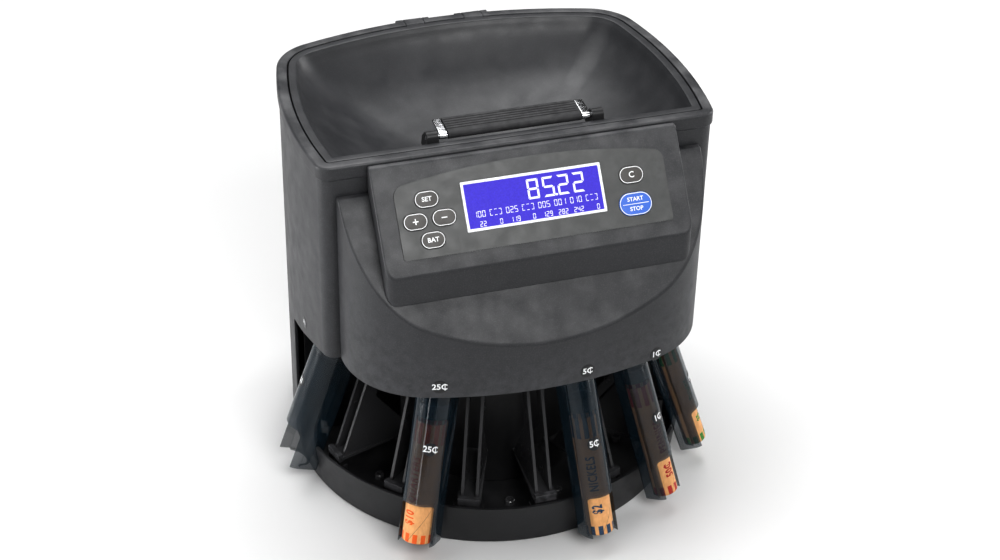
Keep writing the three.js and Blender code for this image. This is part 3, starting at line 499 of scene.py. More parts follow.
# the white ink glows a little though it is no lamp: painted light keeping the print bright in shade
WHITE_INK = printed("white_ink", (0.86, 0.87, 0.88), glow=0.12)
LCD_WHITE = printed("lcd_white", (0.92, 0.93, 1.0), rough=0.3, glow=0.95, share=0.2)
STICKER = printed("sticker_black", (0.016, 0.016, 0.018), rough=0.35)
RUBBER = rubber()
CHROME = metal("chrome", (0.80, 0.81, 0.83), 0.10, (0.2, 1, 1), streak=0.05)
STEEL = metal("steel", (0.55, 0.56, 0.57), 0.34, (0.04, 1, 1))
BRASS = metal("brass", (0.70, 0.50, 0.21), 0.32, (1, 1, 0.05))
CIRCUIT = board()
INKS = {
    "quarter": (0.80, 0.13, 0.012),
    "nickel": (0.012, 0.055, 0.12),
    "penny": (0.45, 0.022, 0.020),
    "dime": (0.035, 0.26, 0.035),
}
SLOT_FINISH = {
    "charcoal_plastic": CHARCOAL, "dark_plastic": DARK, "smoked_plastic": SMOKED,
    "label_film": LABEL_FILM, "key_film": KEY_FILM, "key_blue": KEY_BLUE, "lcd": LCD,
    "rubber": RUBBER, "chrome": CHROME, "steel": STEEL, "brass": BRASS, "circuit": CIRCUIT,
}
NODE_SLOT = {row["node"]: row["material_slot"] for row in frame["record"]["subparts"]}


def finish(obj, material, body, replaces=(), sharp=34, weighted=True):
    """Give a piece its material, smooth shading and body."""
    mesh = obj.data
    mesh.materials.clear()
    mesh.materials.append(material)
    mesh.shade_smooth()
    mesh.set_sharp_from_angle(angle=math.radians(sharp))
    if weighted:
        step = obj.modifiers.new("normals", "WEIGHTED_NORMAL")
        step.keep_sharp = True
    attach(obj, body)
    if replaces:
        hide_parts(*replaces)
    return obj


def refine(node, material=None, bevel=0.4, segments=2):
    """A CAD node's shape with welded, rounded edges and smooth curves."""
    source = frame["nodes"][node]
    obj = soften(clean(add("piece_" + node, source.data.copy())), bevel, segments)
    slot = NODE_SLOT[node]
    return finish(obj, material or SLOT_FINISH[slot], source["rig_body"], [node])


# ------------------------------------------------------------------ lettering

def bend_round(point, radius, at):
    """Lay a flat point (x across, y up, z out) on a tube of a radius."""
    along, phi = at
    x, y, z = point
    angle = phi + x / radius
    return ((radius + z) * math.sin(angle), -(radius + z) * math.cos(angle), along + y)


def lettering(name, text, height, place, material, body, turn=0.0, weight=0.0, spacing=1.0,
              depth=0.08, wrap=None, lift=0.0, squeeze=1.0):
    """Raised print. The text lies in XY of its place, or is bent round a tube."""
    curve = bpy.data.curves.new(name, "FONT")
    curve.body = text.replace("¢", "C")
    curve.size = height / 0.69
    curve.extrude = depth / 2
    curve.offset = weight
    curve.resolution_u = 3
    curve.space_character = spacing
    curve.align_x = "CENTER"
    curve.align_y = "CENTER"
    writer = add(name, curve)
    mesh = evaluated_mesh(writer)
    bpy.data.objects.remove(writer)
    bm = bmesh.new()
    bm.from_mesh(mesh)
    bmesh.ops.remove_doubles(bm, verts=bm.verts, dist=0.001)
    if text.endswith("¢"):
        # the stroke through the last letter makes it a cent sign
        middle = max(v.co.x for v in bm.verts) - 0.38 * height
        place_bar = Matrix.Translation((middle, 0, 0.004)) @ Matrix.Diagonal(
            (0.13 * height, 1.32 * height, depth, 1))
        bmesh.ops.create_cube(bm, size=1, matrix=place_bar)
    bmesh.ops.scale(bm, verts=bm.verts, vec=(squeeze, 1, 1))
    bmesh.ops.rotate(bm, verts=bm.verts, cent=(0, 0, 0), matrix=Matrix.Rotation(turn, 3, "Z"))
    if wrap:
        bmesh.ops.triangulate(bm, faces=bm.faces)
        for _ in range(3):
            long_edges = [e for e in bm.edges if e.calc_length() > 1.3]
            if long_edges:
                bmesh.ops.subdivide_edges(bm, edges=long_edges, cuts=1)
                bmesh.ops.triangulate(bm, faces=bm.faces)
    for v in bm.verts:
        v.co.z += depth / 2 + lift
        if wrap:
            v.co = bend_round(v.co, *wrap)
        v.co = (place @ v.co) * MM
    bm.to_mesh(mesh)
    bm.free()
    return finish(add(name, mesh), material, body, sharp=30, weighted=False)


def sticker(name, text, radius, place, body, size, wrap=None):
    """A round dark label with a printed value."""
    rings = [(0.001, 0.16), (radius * 0.35, 0.16), (radius * 0.7, 0.16), (radius - 0.15, 0.16),
             (radius, 0.08), (radius, 0.0)]
    loops = []
    for r, z in rings:
        loop = [(x, y, z) for x, y in circle(r, 40)]
        loops.append([bend_round(p, *wrap) for p in loop] if wrap else loop)
    disc = skin(name, loops, cyclic=False, caps=True, place=place)
    finish(disc, STICKER, body, weighted=False)
    lettering(name + "_value", text, size, place, WHITE_INK, body,
              weight=0.20, wrap=wrap, lift=0.15, depth=0.07)


# ------------------------------------------------------------------ outlines

def casing_plan(inset):
    """The casing's outline set in evenly, anticlockwise, its straight front divided."""
    across = 12
    front = max(FRONT_CORNER - inset, 2.0)
    rear = max(REAR_CORNER - inset, 12.0)
    side, back = SIDE_R - inset, BACK_R - inset
    front_y = FRONT_Y + inset + front
    front_x = SIDE_X + math.sqrt((side - front) ** 2 - (front_y - SIDE_Y) ** 2)
    ra, rb = side - rear, back - rear
    dx, dy = -SIDE_X, BACK_Y - SIDE_Y
    d = math.hypot(dx, dy)
    along = (ra ** 2 - rb ** 2 + d ** 2) / (2 * d)
    off = math.sqrt(ra ** 2 - along ** 2)
    rear_x = SIDE_X + (along * dx - off * dy) / d
    rear_y = SIDE_Y + (along * dy + off * dx) / d
    side_from = math.atan2(front_y - SIDE_Y, front_x - SIDE_X)
    side_to = math.atan2(rear_y - SIDE_Y, rear_x - SIDE_X)
    back_from = math.atan2(rear_y - BACK_Y, rear_x)
    half = arc(front_x, front_y, front, -math.pi / 2, side_from, 8)
    half += arc(SIDE_X, SIDE_Y, side, side_from, side_to, 14)[1:]
    half += arc(rear_x, rear_y, rear, side_to, back_from, 14)[1:]
    half += arc(0, BACK_Y, back, back_from, math.pi / 2, 12)[1:-1]
    front_edge = [(-front_x + 2 * front_x * i / across, FRONT_Y + inset) for i in range(1, across)]
    return half + [(0, BACK_Y + back)] + [(-x, y) for x, y in reversed(half)] + front_edge


def casing_loop(inset, z):
    return [(x, y, z) for x, y in casing_plan(inset)]


def bezier(p0, p1, p2, p3, steps):
    points = []
    for i in range(steps + 1):
        t = i / steps
        w = ((1 - t) ** 3, 3 * t * (1 - t) ** 2, 3 * t * t * (1 - t), t ** 3)
        points.append(tuple(sum(k * p[a] for k, p in zip(w, (p0, p1, p2, p3))) for a in (0, 1)))
    return points


def cover_line(inset):
    """Open outline of the front cover, from its left end round the front to its right end."""
    y0 = FRONT_Y + 1.2
    side, bow, edge = 149 - inset, 338 - inset, 95 - inset * 0.3
    arc_y = 173 - math.sqrt(bow ** 2 - edge ** 2)
    lean = edge / math.sqrt(bow ** 2 - edge ** 2)
    spread = math.asin(edge / bow)
    left = bezier((-side, y0), (-side - 1, -113 + inset), (-edge - 35, arc_y + 35 * lean),
                  (-edge, arc_y), 22)
    middle = arc(0, 173, bow, math.pi * 1.5 - spread, math.pi * 1.5 + spread, 30)
    right = [(-x, y) for x, y in reversed(left)]
    return left + middle[1:-1] + right


def deck_z(y):
    share = (COVER["top_y"] - y) / (COVER["top_y"] - COVER["edge_y"])
    return COVER["top_z"] - max(0.0, share) * (COVER["top_z"] - COVER["edge_z"])


# ------------------------------------------------------------------ casing

def build_housing():
    wall = skin("housing", [casing_loop(1.5, 2), casing_loop(1.5, 318.7), casing_loop(4.5, 318.7),
                            casing_loop(4.5, 2)])
    bay = [(-120, -5), (18, -5), (18, 126), (17.2, 129), (15, 130.6), (-42, 147), (-70, 153), (-120, 153)]
    window = [(-140, 100), (140, 100), (140, 300), (-140, 300)]
    cut_bay = prism("bay", bay, -200, 200, SIDE_VIEW)
    cut_window = prism("window", window, -100, -60, THROUGH_FRONT)
    cut_panel = prism("panel", [(-100, 22), (100, 22), (100, 232), (-100, 232)], 100, 200, THROUGH_FRONT)
    carve(wall, cut_bay, cut_window, cut_panel)
    clean(wall, 0.2)
    soften(wall, 0.7, 2, 40)
    finish(wall, CHARCOAL, "casing", ["housing_shell"])


def rim_ring(name):
    """The rim's closed section, as (inset, height), run round the casing."""
    inner = RIM_INSET
    profile = [(inner, RIM_BOTTOM + 0.5), (8.6, RIM_BOTTOM), (1.2, RIM_BOTTOM), (0.5, 319.25), (0.1, 319.8),
               (0, 320.6), (0, 328.3), (0.25, 329.5), (0.9, 330.4), (1.9, 330.9), (3.0, RIM_TOP),
               (7.9, RIM_TOP), (8.6, 330.75), (inner, 330.1)]
    return skin(name, [casing_loop(inset, z) for inset, z in profile])


def build_rim():
    rim = rim_ring("rim")
    solids, cutters = [], []
    inner = HINGE_ARM / 2 + NOTCH_GAP
    for x in (-HINGE_X, HINGE_X):
        for x0, x1 in ((x - inner - KNUCKLE, x - inner), (x + inner, x + inner + KNUCKLE)):
            knuckle = prism("knuckle", knuckle_outline(KNUCKLE_ROOT), x0, x1, SIDE_VIEW)
            solids.append(soften(clean(knuckle), 0.3))
        cutters.append(box("notch", x - inner, x + inner, 110, 160, ARM_BOTTOM - NOTCH_GAP, RIM_TOP + 1))
        cutters.append(hinge_bore(x, 18))
    carve(rim, *solids, operation="UNION")
    carve(rim, *cutters)
    finish(rim, CHARCOAL, "casing", ["top_rim"], sharp=40)
    for side in ("left", "right"):
        refine(f"hopper_hinge_pin_{side}", bevel=0.3)


def hinge_bore(x, half):
    bore = circle(HINGE_BORE, 24, HINGE_Y, HINGE_Z)
    return prism("bore", bore, x - half, x + half, SIDE_VIEW)


def knuckle_outline(root):
    """A hinge knuckle from the side, with its straight end at a depth of root."""
    barrel = arc(HINGE_Y, HINGE_Z, HINGE_R, -math.pi / 2, math.pi / 2, 12)
    return [(root, HINGE_Z - HINGE_R)] + barrel + [(root, HINGE_Z + HINGE_R)]


def build_cover():
    radius = 1.6
    turns = [math.pi / 2 * i / 5 for i in range(6)]
    rows = [(0.0, None, COVER["bottom"])]
    rows += [(radius * (1 - math.cos(a)), -radius * (1 - math.sin(a)), None) for a in turns]
    loops = []
    for inset, drop, level in rows:
        line = cover_line(inset)
        loops.append([(x, y, level if drop is None else deck_z(y) + drop) for x, y in line])
    count = len(loops[0])
    verts = [p for loop in loops for p in loop]
    faces = []
    for i in range(len(loops) - 1):
        for j in range(count - 1):
            a, b = i * count + j, (i + 1) * count + j
            faces.append((a, a + 1, b + 1, b))
    # the deck is a ladder of strips between points that face each other
    top = (len(loops) - 1) * count
    for j in range(count // 2):
        k = count - 1 - j
        if k - j > 1:
            faces.append(tuple(dict.fromkeys((top + j, top + j + 1, top + k - 1, top + k))))
    cover = new_object("front_cover_shell", verts, faces)
    up = sum((p.normal.z for p in cover.data.polygons), 0.0)
    if up < 0:
        edit(cover, lambda bm: bmesh.ops.reverse_faces(bm, faces=bm.faces))
    step = cover.modifiers.new("wall", "SOLIDIFY")
    step.thickness = WALL * MM
    step.offset = -1
    step.use_even_offset = True
    bake(cover)
    finish(cover, CHARCOAL, "casing", ["front_cover"], sharp=28)


def build_console():
    drop = math.tan(SLOPE) * (CONSOLE["top_y"] - CONSOLE["front"])

    def side(wall):
        top = CONSOLE["top_z"] - wall
        lift = 0.3 / math.cos(SLOPE) + (-20 if wall else 0)

        def foot(y):
            share = (COVER["top_y"] - y) / (COVER["top_y"] - COVER["edge_y"])
            return COVER["top_z"] - share * (COVER["top_z"] - COVER["edge_z"]) + lift
        return [
            (CONSOLE["back"] - wall, foot(CONSOLE["back"])), (CONSOLE["back"] - wall, top),
            (CONSOLE["top_y"] + wall * 0.3, top),
            (CONSOLE["front"] + wall, top - drop + wall * 0.5),
            (CONSOLE["front"] + wall, foot(CONSOLE["front"])),
        ]

    def plan(wall):
        r = CONSOLE["corner"] - wall
        x, y = CONSOLE["half"] - wall - r, CONSOLE["front"] + wall + r
        return ([(CONSOLE["half"] - wall, -60), (wall - CONSOLE["half"], -60)]
                + arc(-x, y, r, math.pi, math.pi * 1.5, 10) + arc(x, y, r, math.pi * 1.5, math.tau, 10))

    outer = prism("console", side(0), -CONSOLE["half"], CONSOLE["half"], SIDE_VIEW)
    carve(outer, prism("plan", plan(0), 200, 340), operation="INTERSECT")
    clean(outer, 0.6)
    soften(outer, 1.8, 4, 24)
    room = prism("room", side(2.5), -CONSOLE["half"], CONSOLE["half"], SIDE_VIEW)
    carve(room, prism("room_plan", plan(2.5), 200, 340), operation="INTERSECT")
    holes = [box("hole", x - w / 2 - 0.8, x + w / 2 + 0.8, -v - h / 2 - 0.8, -v + h / 2 + 0.8, -8, 3, FACE)
             for x, v, w, h, _ in KEYS.values()]
    x = DISPLAY["half"] - 3
    holes.append(box("hole", -x, x, -DISPLAY["v1"] + 3, -DISPLAY["v0"] - 3, -8, 3, FACE))
    carve(outer, room, *holes)
    finish(outer, CHARCOAL, "casing", ["console"], sharp=32)
    refine("display_module", bevel=0.3)


# ------------------------------------------------------------------ label, display and keys

def curve_on(line, control, end, steps):
    """Continue an outline along a quadratic curve."""
    start = line[-1]
    for t in (i / steps for i in range(1, steps + 1)):
        line.append(tuple((1 - t) ** 2 * a + 2 * t * (1 - t) * b + t * t * c
                          for a, b, c in zip(start, control, end)))


def key_outline(key, grow):
    x, v, w, h, _ = KEYS[key]
    return rounded_box(x, -v, w + 2 * grow, h + 2 * grow, h / 2 + grow - 0.05, 10)


def display_outline(grow, radius=0.8):
    w = 2 * (DISPLAY["half"] + grow)
    h = DISPLAY["v1"] - DISPLAY["v0"] + 2 * grow
    return rounded_box(0, -(DISPLAY["v0"] + DISPLAY["v1"]) / 2, w, h, radius, 4)


def build_label():
    half, v1, r = LABEL["half"], LABEL["v1"], LABEL["corner"]
    shoulder, side = half - r, LABEL["side"]
    foot = 2.5
    line = [(-half + foot, -v1), (half - foot, -v1)]
    curve_on(line, (half, -v1), (half, -v1 + foot), 5)
    line.append((half, -side - r))
    curve_on(line, (half, -side), (shoulder, -side + 1), 8)
    curve_on(line, (0, 1 + side - 2 * LABEL["v0"]), (-shoulder, -side + 1), 40)
    curve_on(line, (-half, -side), (-half, -side - r), 8)
    line.append((-half, -v1 + foot))
    curve_on(line, (-half, -v1), (-half + foot, -v1), 5)
    line.pop()
    label = prism("keypad_label", line, 0.05, 0.9, FACE)
    cutters = [prism("hole", key_outline(key, 0.4), -3, 3, FACE) for key in KEYS]
    cutters.append(prism("hole", display_outline(0.3), -3, 3, FACE))
    carve(label, *cutters)
    finish(label, LABEL_FILM, "casing", ["keypad_overlay"], sharp=25)


def build_display():
    outer, inner = display_outline(0), display_outline(-2.2, 0.4)
    loops = [[(x, y, z) for x, y in line] for line, z in (
        (outer, 0.3), (outer, 0.95), (display_outline(-0.15), 1.1), (display_outline(-2.05, 0.45), 1.1),
        (inner, 0.95), (inner, 0.3))]
    ring = skin("display_frame", loops, place=FACE)
    finish(ring, WHITE_INK, "casing", ["display_window"])
    glass = prism("display_glass", display_outline(-2.25, 0.4), 0.2, 0.8, FACE)
    finish(glass, LCD, "casing")
    figures = []
    for char, x in zip("8522", (0.1, 12.7, 24.7, 37.1)):
        figures += seven_segments(char, x, 33.4, 9.4, 15.7, 1.8)
    figures.append(rounded_box(18.4, -40.3, 1.9, 1.9, 0.9, 3))
    for i, (value, count, x) in enumerate(zip(DISPLAY_VALUES, DISPLAY_COUNTS, DISPLAY_COUNT_X)):
        figures += small_figures(value, 13.03 * i - 45.3, 46.6, 4.9)
        figures += small_figures(count, x, 54.3, 4.1)
    verts, faces = [], []
    for outline in figures:
        base, n = len(verts), len(outline)
        verts += [(x, y, z) for z in (0.78, 0.86) for x, y in outline]
        faces.append([base + i for i in reversed(range(n))])
        faces.append([base + n + i for i in range(n)])
        faces += [[base + i, base + (i + 1) % n, base + n + (i + 1) % n, base + n + i] for i in range(n)]
    digits = new_object("display_figures", verts, faces, FACE)
    finish(digits, LCD_WHITE, "casing", weighted=False)


DISPLAY_VALUES = ("100", "[]", "025", "[]", "005", "001", "010", "[]")
DISPLAY_COUNTS = ("22", "0", "119", "0", "129", "282", "242", "0")
DISPLAY_COUNT_X = (-43.5, -28.9, -17.6, -2.3, 8.6, 21.4, 34.1, 50.1)
SEGMENTS = {
    "0": "abcdef", "1": "bc", "2": "abged", "4": "fgbc", "5": "afgcd", "8": "abcdefg", "9": "abcdfg",
}


def seven_segments(char, x, v, w, h, t):
    """Outlines of one figure's lit bars, with a fine gap between bars."""
    gap = t * 0.16
    a, b = w / 2, h / 2
    bars = {
        "a": [(gap - a, b), (-a + t, b - t), (a - t, b - t), (a - gap, b)],
        "d": [(gap - a, -b), (a - gap, -b), (a - t, -b + t), (-a + t, -b + t)],
        "g": [(-a + t * 0.4, 0), (-a + t, -t / 2), (a - t, -t / 2), (a - t * 0.4, 0), (a - t, t / 2),
              (-a + t, t / 2)],
        "f": [(-a, b - gap), (-a, gap), (-a + t, t / 2 + gap), (-a + t, b - t - gap)],
        "b": [(a, b - gap), (a - t, b - t - gap), (a - t, t / 2 + gap), (a, gap)],
        "e": [(-a, -gap), (-a, gap - b), (-a + t, t + gap - b), (-a + t, -t / 2 - gap)],
        "c": [(a, -gap), (a - t, -t / 2 - gap), (a - t, t + gap - b), (a, gap - b)],
    }
    return [[(x + px, py - v) for px, py in bars[name]] for name in SEGMENTS[char]]


def small_figures(text, x, v, h):
    """Outlines of a small number, or of the dashed brackets that stand for an empty station."""
    out = []
    if text == "[]":
        t = 0.5
        for side in (-1, 1):
            edge, inner = side * 4.8, side * 2.7
            for y0, y1 in ((h / 2 - t, h / 2), (-h / 2, t - h / 2)):
                x0, x1 = sorted((edge, inner))
                out.append([(x + x0, y0 - v), (x + x1, y0 - v), (x + x1, y1 - v), (x + x0, y1 - v)])
            for y0, y1 in ((0.3, h / 2 - t - 0.15), (t + 0.15 - h / 2, -0.3)):
                x0, x1 = sorted((edge, edge - side * t))
                out.append([(x + x0, y0 - v), (x + x1, y0 - v), (x + x1, y1 - v), (x + x0, y1 - v)])
            y0, y1 = sorted((side * (h / 2 - t), side * h / 2))
            out.append([(x - 1, y0 - v), (x + 1, y0 - v), (x + 1, y1 - v), (x - 1, y1 - v)])
        return out
    pitch = h * 0.7
    for i, char in enumerate(text):
        cx = x + (i - (len(text) - 1) / 2) * pitch
        out += seven_segments(char, cx, v, h * 0.54, h, 0.52)
    return out


def build_keys():
    for key, (x, v, w, h, text) in KEYS.items():
        blue = key == "start_stop"
        body = "button_" + key
        rise = [(0, -4), (0, 1.15), (0.12, 1.4), (0.45, 1.55), (1.2, 1.6), (h * 0.2, 1.63), (h * 0.34, 1.65),
                (h * 0.46, 1.66)]
        loops = [[(px, py, z) for px, py in key_outline(key, -inset)] for inset, z in rise]
        cap = skin("key_cap_" + key, loops, cyclic=False, caps=True, place=FACE)
        finish(cap, KEY_BLUE if blue else KEY_FILM, body, ["key_" + key], sharp=50)
        ring = [(0.30, 1.50), (0.34, 1.60), (0.95, 1.66), (0.99, 1.55)]
        loops = [[(px, py, z) for px, py in key_outline(key, -inset)] for inset, z in ring]
        finish(skin("key_outline_" + key, loops, place=FACE), WHITE_INK, body, sharp=50)
        spot = FACE @ Matrix.Translation((x, -v, 0))
        if blue:
            for word, y in (("START", 3.7), ("STOP", -3.9)):
                lettering(f"key_text_{word.lower()}", word, 3.1, spot @ Matrix.Translation((0, y, 0)),
                          WHITE_INK, body, weight=0.12, spacing=1.02, lift=1.63)
            bar = prism("key_bar", rounded_box(0, 0, w - 5.5, 0.55, 0.25, 3), 1.6, 1.71, spot)
            finish(bar, WHITE_INK, body)
        elif text in "+-":
            shapes = [rounded_box(0, 0, 4.6, 0.95, 0.2, 2)]
            if text == "+":
                shapes.append(rounded_box(0, 0, 0.95, 4.6, 0.2, 2))
            bars = [prism("bar", line, 1.6, 1.72 + 0.01 * i, spot) for i, line in enumerate(shapes)]
            finish(join("key_sign_" + key, bars), WHITE_INK, body)
        else:
            lettering("key_text_" + key, text, 3.5 if len(text) > 1 else 4.6, spot, WHITE_INK, body,
                      weight=0.13, lift=1.63)


# ------------------------------------------------------------------ hopper and handle

def bowl_loop(inset, radius, blend, z):
    loop = []
    for x, y in casing_plan(inset):
        angle = math.atan2(y - SPIN_Y, x)
        tx, ty = radius * math.cos(angle), SPIN_Y + radius * math.sin(angle)
        loop.append((x + (tx - x) * blend, y + (ty - y) * blend, z))
    return loop


def spline(stations, count):
    """Even steps along a smooth curve through (z, blend) stations."""
    out = []
    n = len(stations)
    for i in range(count):
        t = i / (count - 1) * (n - 1)
        k = min(int(t), n - 2)
        f = t - k
        p = [stations[min(max(k + o, 0), n - 1)] for o in (-1, 0, 1, 2)]
        out.append(tuple(0.5 * (2 * p[1][a] + (p[2][a] - p[0][a]) * f
                                + (2 * p[0][a] - 5 * p[1][a] + 4 * p[2][a] - p[3][a]) * f * f
                                + (3 * p[1][a] - p[0][a] - 3 * p[2][a] + p[3][a]) * f ** 3) for a in (0, 1)))
    return out


def build_hopper():
    inner, skin_t = BOWL_INSET, 2.5
    lip = RIM_TOP - 0.3
    walls = [(260, 1), (266, 1), (277, 0.62), (294, 0.30), (316, 0.08), (lip - 3, 0.01)]
    rings = [(inner, THROAT_R, min(1, max(0, b)), z) for z, b in spline(walls, 26)]
    rings += [(inner - 0.1, THROAT_R, 0, lip - 1.4), (inner - 0.5, THROAT_R, 0, lip - 0.4),
              (inner - 1.4, THROAT_R, 0, lip), (10.9, THROAT_R, 0, lip), (10.1, THROAT_R, 0, lip - 0.3),
              (LIP_INSET, THROAT_R, 0, lip - 1.0), (LIP_INSET, THROAT_R, 0, lip - 8),
              (12.4, THROAT_R, 0, lip - 8)]
    under = [(lip - 10, 0.02), (THROAT_Z + 30, 0.30), (THROAT_Z + 13, 0.62), (THROAT_Z + 4, 0.99),
             (THROAT_Z, 1)]
    rings += [(inner, THROAT_R + skin_t, min(1, max(0, b)), z) for z, b in spline(under, 14)]
    bowl = skin("hopper_bowl", [bowl_loop(*ring) for ring in rings])
    finish(bowl, BOWL, "hopper", ["hopper_tray"], sharp=38)

    lugs = []
    for side in (-1, 1):
        x0 = side * (GRIP_HALF + CAP_WIDTH + 0.8)
        x0, x1 = sorted((x0, x0 + side * LUG_WIDTH))
        shape = [(-66, 314), (-47, 322), (-49, 330), (GRIP_Y + 3, GRIP_Z + 3.6)]
        shape += arc(GRIP_Y, GRIP_Z, 4.6, 0.9, math.pi, 10) + [(-66, 326)]
        lug = soften(clean(prism("lug", shape, x0, x1, SIDE_VIEW)), 0.9, 3)
        lugs.append(carve(lug, prism("bore", circle(2.3, 24, GRIP_Y, GRIP_Z), x0 - 2, x1 + 2, SIDE_VIEW)))
    finish(join("handle_lugs", lugs), DARK, "hopper")
    # each arm carries the piece of rim that closes its notch
    arms = []
    for x in (-HINGE_X, HINGE_X):
        x0, x1 = x - HINGE_ARM / 2, x + HINGE_ARM / 2
        arm = soften(clean(prism("arm", knuckle_outline(ARM_ROOT), x0, x1, SIDE_VIEW)), 0.3)
        closing = rim_ring("closing")
        carve(closing, box("span", x0, x1, 110, 160, ARM_BOTTOM, RIM_TOP + 1), operation="INTERSECT")
        carve(arm, closing, operation="UNION")
        arms.append(carve(arm, hinge_bore(x, 12)))
    finish(join("hopper_arms", arms), CHARCOAL, "hopper", sharp=40)


def grip_outline(shrink, grooves=False):
    nose, depth, rear = 3.3 - shrink, 20 - shrink, 4.8 - shrink
    line = [(0, -nose), (depth - 2, -nose)] + arc(depth - 2, 2 - nose, 2, -math.pi / 2, 0, 4)[1:]
    line += [(depth, rear - 2)] + arc(depth - 2, rear - 2, 2, 0, math.pi / 2, 4)[1:]
    if grooves:
        for i in range(5):
            y = 15.8 - i * 3.1
            top = nose + (rear - nose) * y / (depth - 2)
            line += [(y + 0.75, top), (y + 0.5, top - 0.25), (y + 0.35, top - 0.8), (y - 0.35, top - 0.8),
                     (y - 0.5, top - 0.25), (y - 0.75, top)]
    return line + arc(0, 0, nose, math.pi / 2, math.pi * 1.5, 12)[:-1]


def build_handle():
    place = Matrix.Translation((0, GRIP_Y, GRIP_Z)) @ SIDE_VIEW
    grip = prism("grip", grip_outline(0, True), -GRIP_HALF, GRIP_HALF, place)
    finish(grip, RUBBER, "handle", ["handle_grip"], sharp=40)
    for name, side in (("left", -1), ("right", 1)):
        x0, x1 = sorted((side * (GRIP_HALF + 0.3), side * (GRIP_HALF + CAP_WIDTH)))
        cap = soften(clean(prism("cap", grip_outline(0.4), x0, x1, place), 0.1), 0.9, 3, 50)
        tip = side * (GRIP_HALF + CAP_WIDTH + LUG_WIDTH)
        a, b = sorted((side * (GRIP_HALF + CAP_WIDTH - 1), tip + side * 0.5))
        pin = prism("pin", circle(2, 24), a, b, place)
        finish(join("handle_end_" + name, [cap, soften(pin, 0.3)]), CHROME, "handle",
               [f"handle_cap_{name}"], sharp=40)


# ------------------------------------------------------------------ base and bay

def tube_room(bore, station):
    half = bore + TUBE_WALL + 1
    return box("room", -half, half, -bore - 9, bore + WALL + 2.5, -30, 70, tube_frame(station))


def build_base():
    profile = [(0.01, 0), (166.2, 0), (166.7, 0.5), (170.9, 36.9), (170.7, 37.7), (170.0, 38),
               (168.8, 38), (168.1, 37.6), (167.9, 36.8), (163.8, 6.2), (162.6, 5), (0.01, 5)]
    ring = turned("base", profile, 180)
    carve(ring, box("front", -200, 200, -200, 17, -1, 60), operation="INTERSECT")
    floor = prism("floor", casing_plan(5.0), 0, 5)
    carve(floor, box("rear", -200, 200, 17, 200, -1, 60), operation="INTERSECT")
    rooms = [tube_room(facts["bore"], facts["station"]) for facts in TUBES.values()]
    rooms.append(tube_room(TUBES["dollar"]["bore"], 7))
    carve(ring, *rooms)
    clean(ring, 0.2)
    soften(ring, 0.45, 2, 50)
    feet = [(-100, -95), (100, -95), (-120, 95), (120, 95)]
    base = join("base", [ring, floor])
    sockets = [prism("socket", circle(9.3, 32, x, y), -1, 2.3) for x, y in feet]
    carve(base, *sockets)
    finish(base, BASE_BLACK, "casing", ["base_tray"], sharp=40)
    for i, (x, y) in enumerate(feet):
        profile = [(0.01, 0), (6.2, 0), (6.6, 0.35), (7.2, 0.35), (7.6, 0), (8.6, 0), (9, 0.5), (9, 2),
                   (0.01, 2)]
        foot = turned("pad", profile, 48, Matrix.Translation((x, y, 0)), caps=True)
        finish(foot, RUBBER, "casing", [f"foot_{i + 1}"])
    # screw bosses on the floor, and a pair of clips beside each cradle's tip
    bosses = []
    for angle, r in ((-69, 122), (-9, 109), (-50, 118), (14, 108), (62, 112)):
        spot = bearing(math.radians(angle)) @ Matrix.Translation((0, -r, 4.8))
        profile = [(0.01, 0), (4.6, 0), (4.2, 3.6), (3.6, 4.2), (2.2, 4.2), (2.0, 3.2), (0.01, 3.2)]
        bosses.append(turned("boss", profile, 32, spot, caps=True))
    finish(join("floor_bosses", bosses), GLOSS_BLACK_PAINTED_LIT, "casing")
    clips = []
    for k in range(7):
        angle = (k - 3) * PITCH
        reach = SPIN_Y * math.cos(angle) + math.sqrt(164.5 ** 2 - (SPIN_Y * math.sin(angle)) ** 2)
        for x in (-12.5, 11.5):
            spot = bearing(angle) @ Matrix.Translation((x, -reach + 4.4, 0))
            clips.append(soften(box("clip", -0.6, 0.6, -2.2, 2.2, 4.8, 34, spot), 0.3))
    finish(join("wall_clips", clips), DARK, "casing")


def build_bay():
    refine("bay_bulkhead", bevel=0.5)
    refine("centre_column", bevel=0.5)
    for k in range(1, 8):
        refine(f"tube_cradle_{k}", GLOSS_BLACK_PAINTED_LIT, bevel=0.7, segments=3)


# ------------------------------------------------------------------ tubes

def tube_outline(bore, shrink=0.0):
    """The tube's section: round in front, straight at the sides and back."""
    half, back, r = bore + TUBE_WALL - shrink, bore + WALL - shrink, 3.0
    line = arc(0, 0, half, math.pi, math.tau, 48)
    line += arc(half - r, back - r, r, 0, math.pi / 2, 6)
    line += [((half - r) * (1 - i / 4), back) for i in range(1, 8)]
    line += arc(r - half, back - r, r, math.pi / 2, math.pi, 6)
    return line


def bore_outline(bore, radius):
    """As many points as the section has, on a circle."""
    return [(radius * math.cos(a), radius * math.sin(a))
            for a in (math.atan2(y, x) for x, y in tube_outline(bore))]


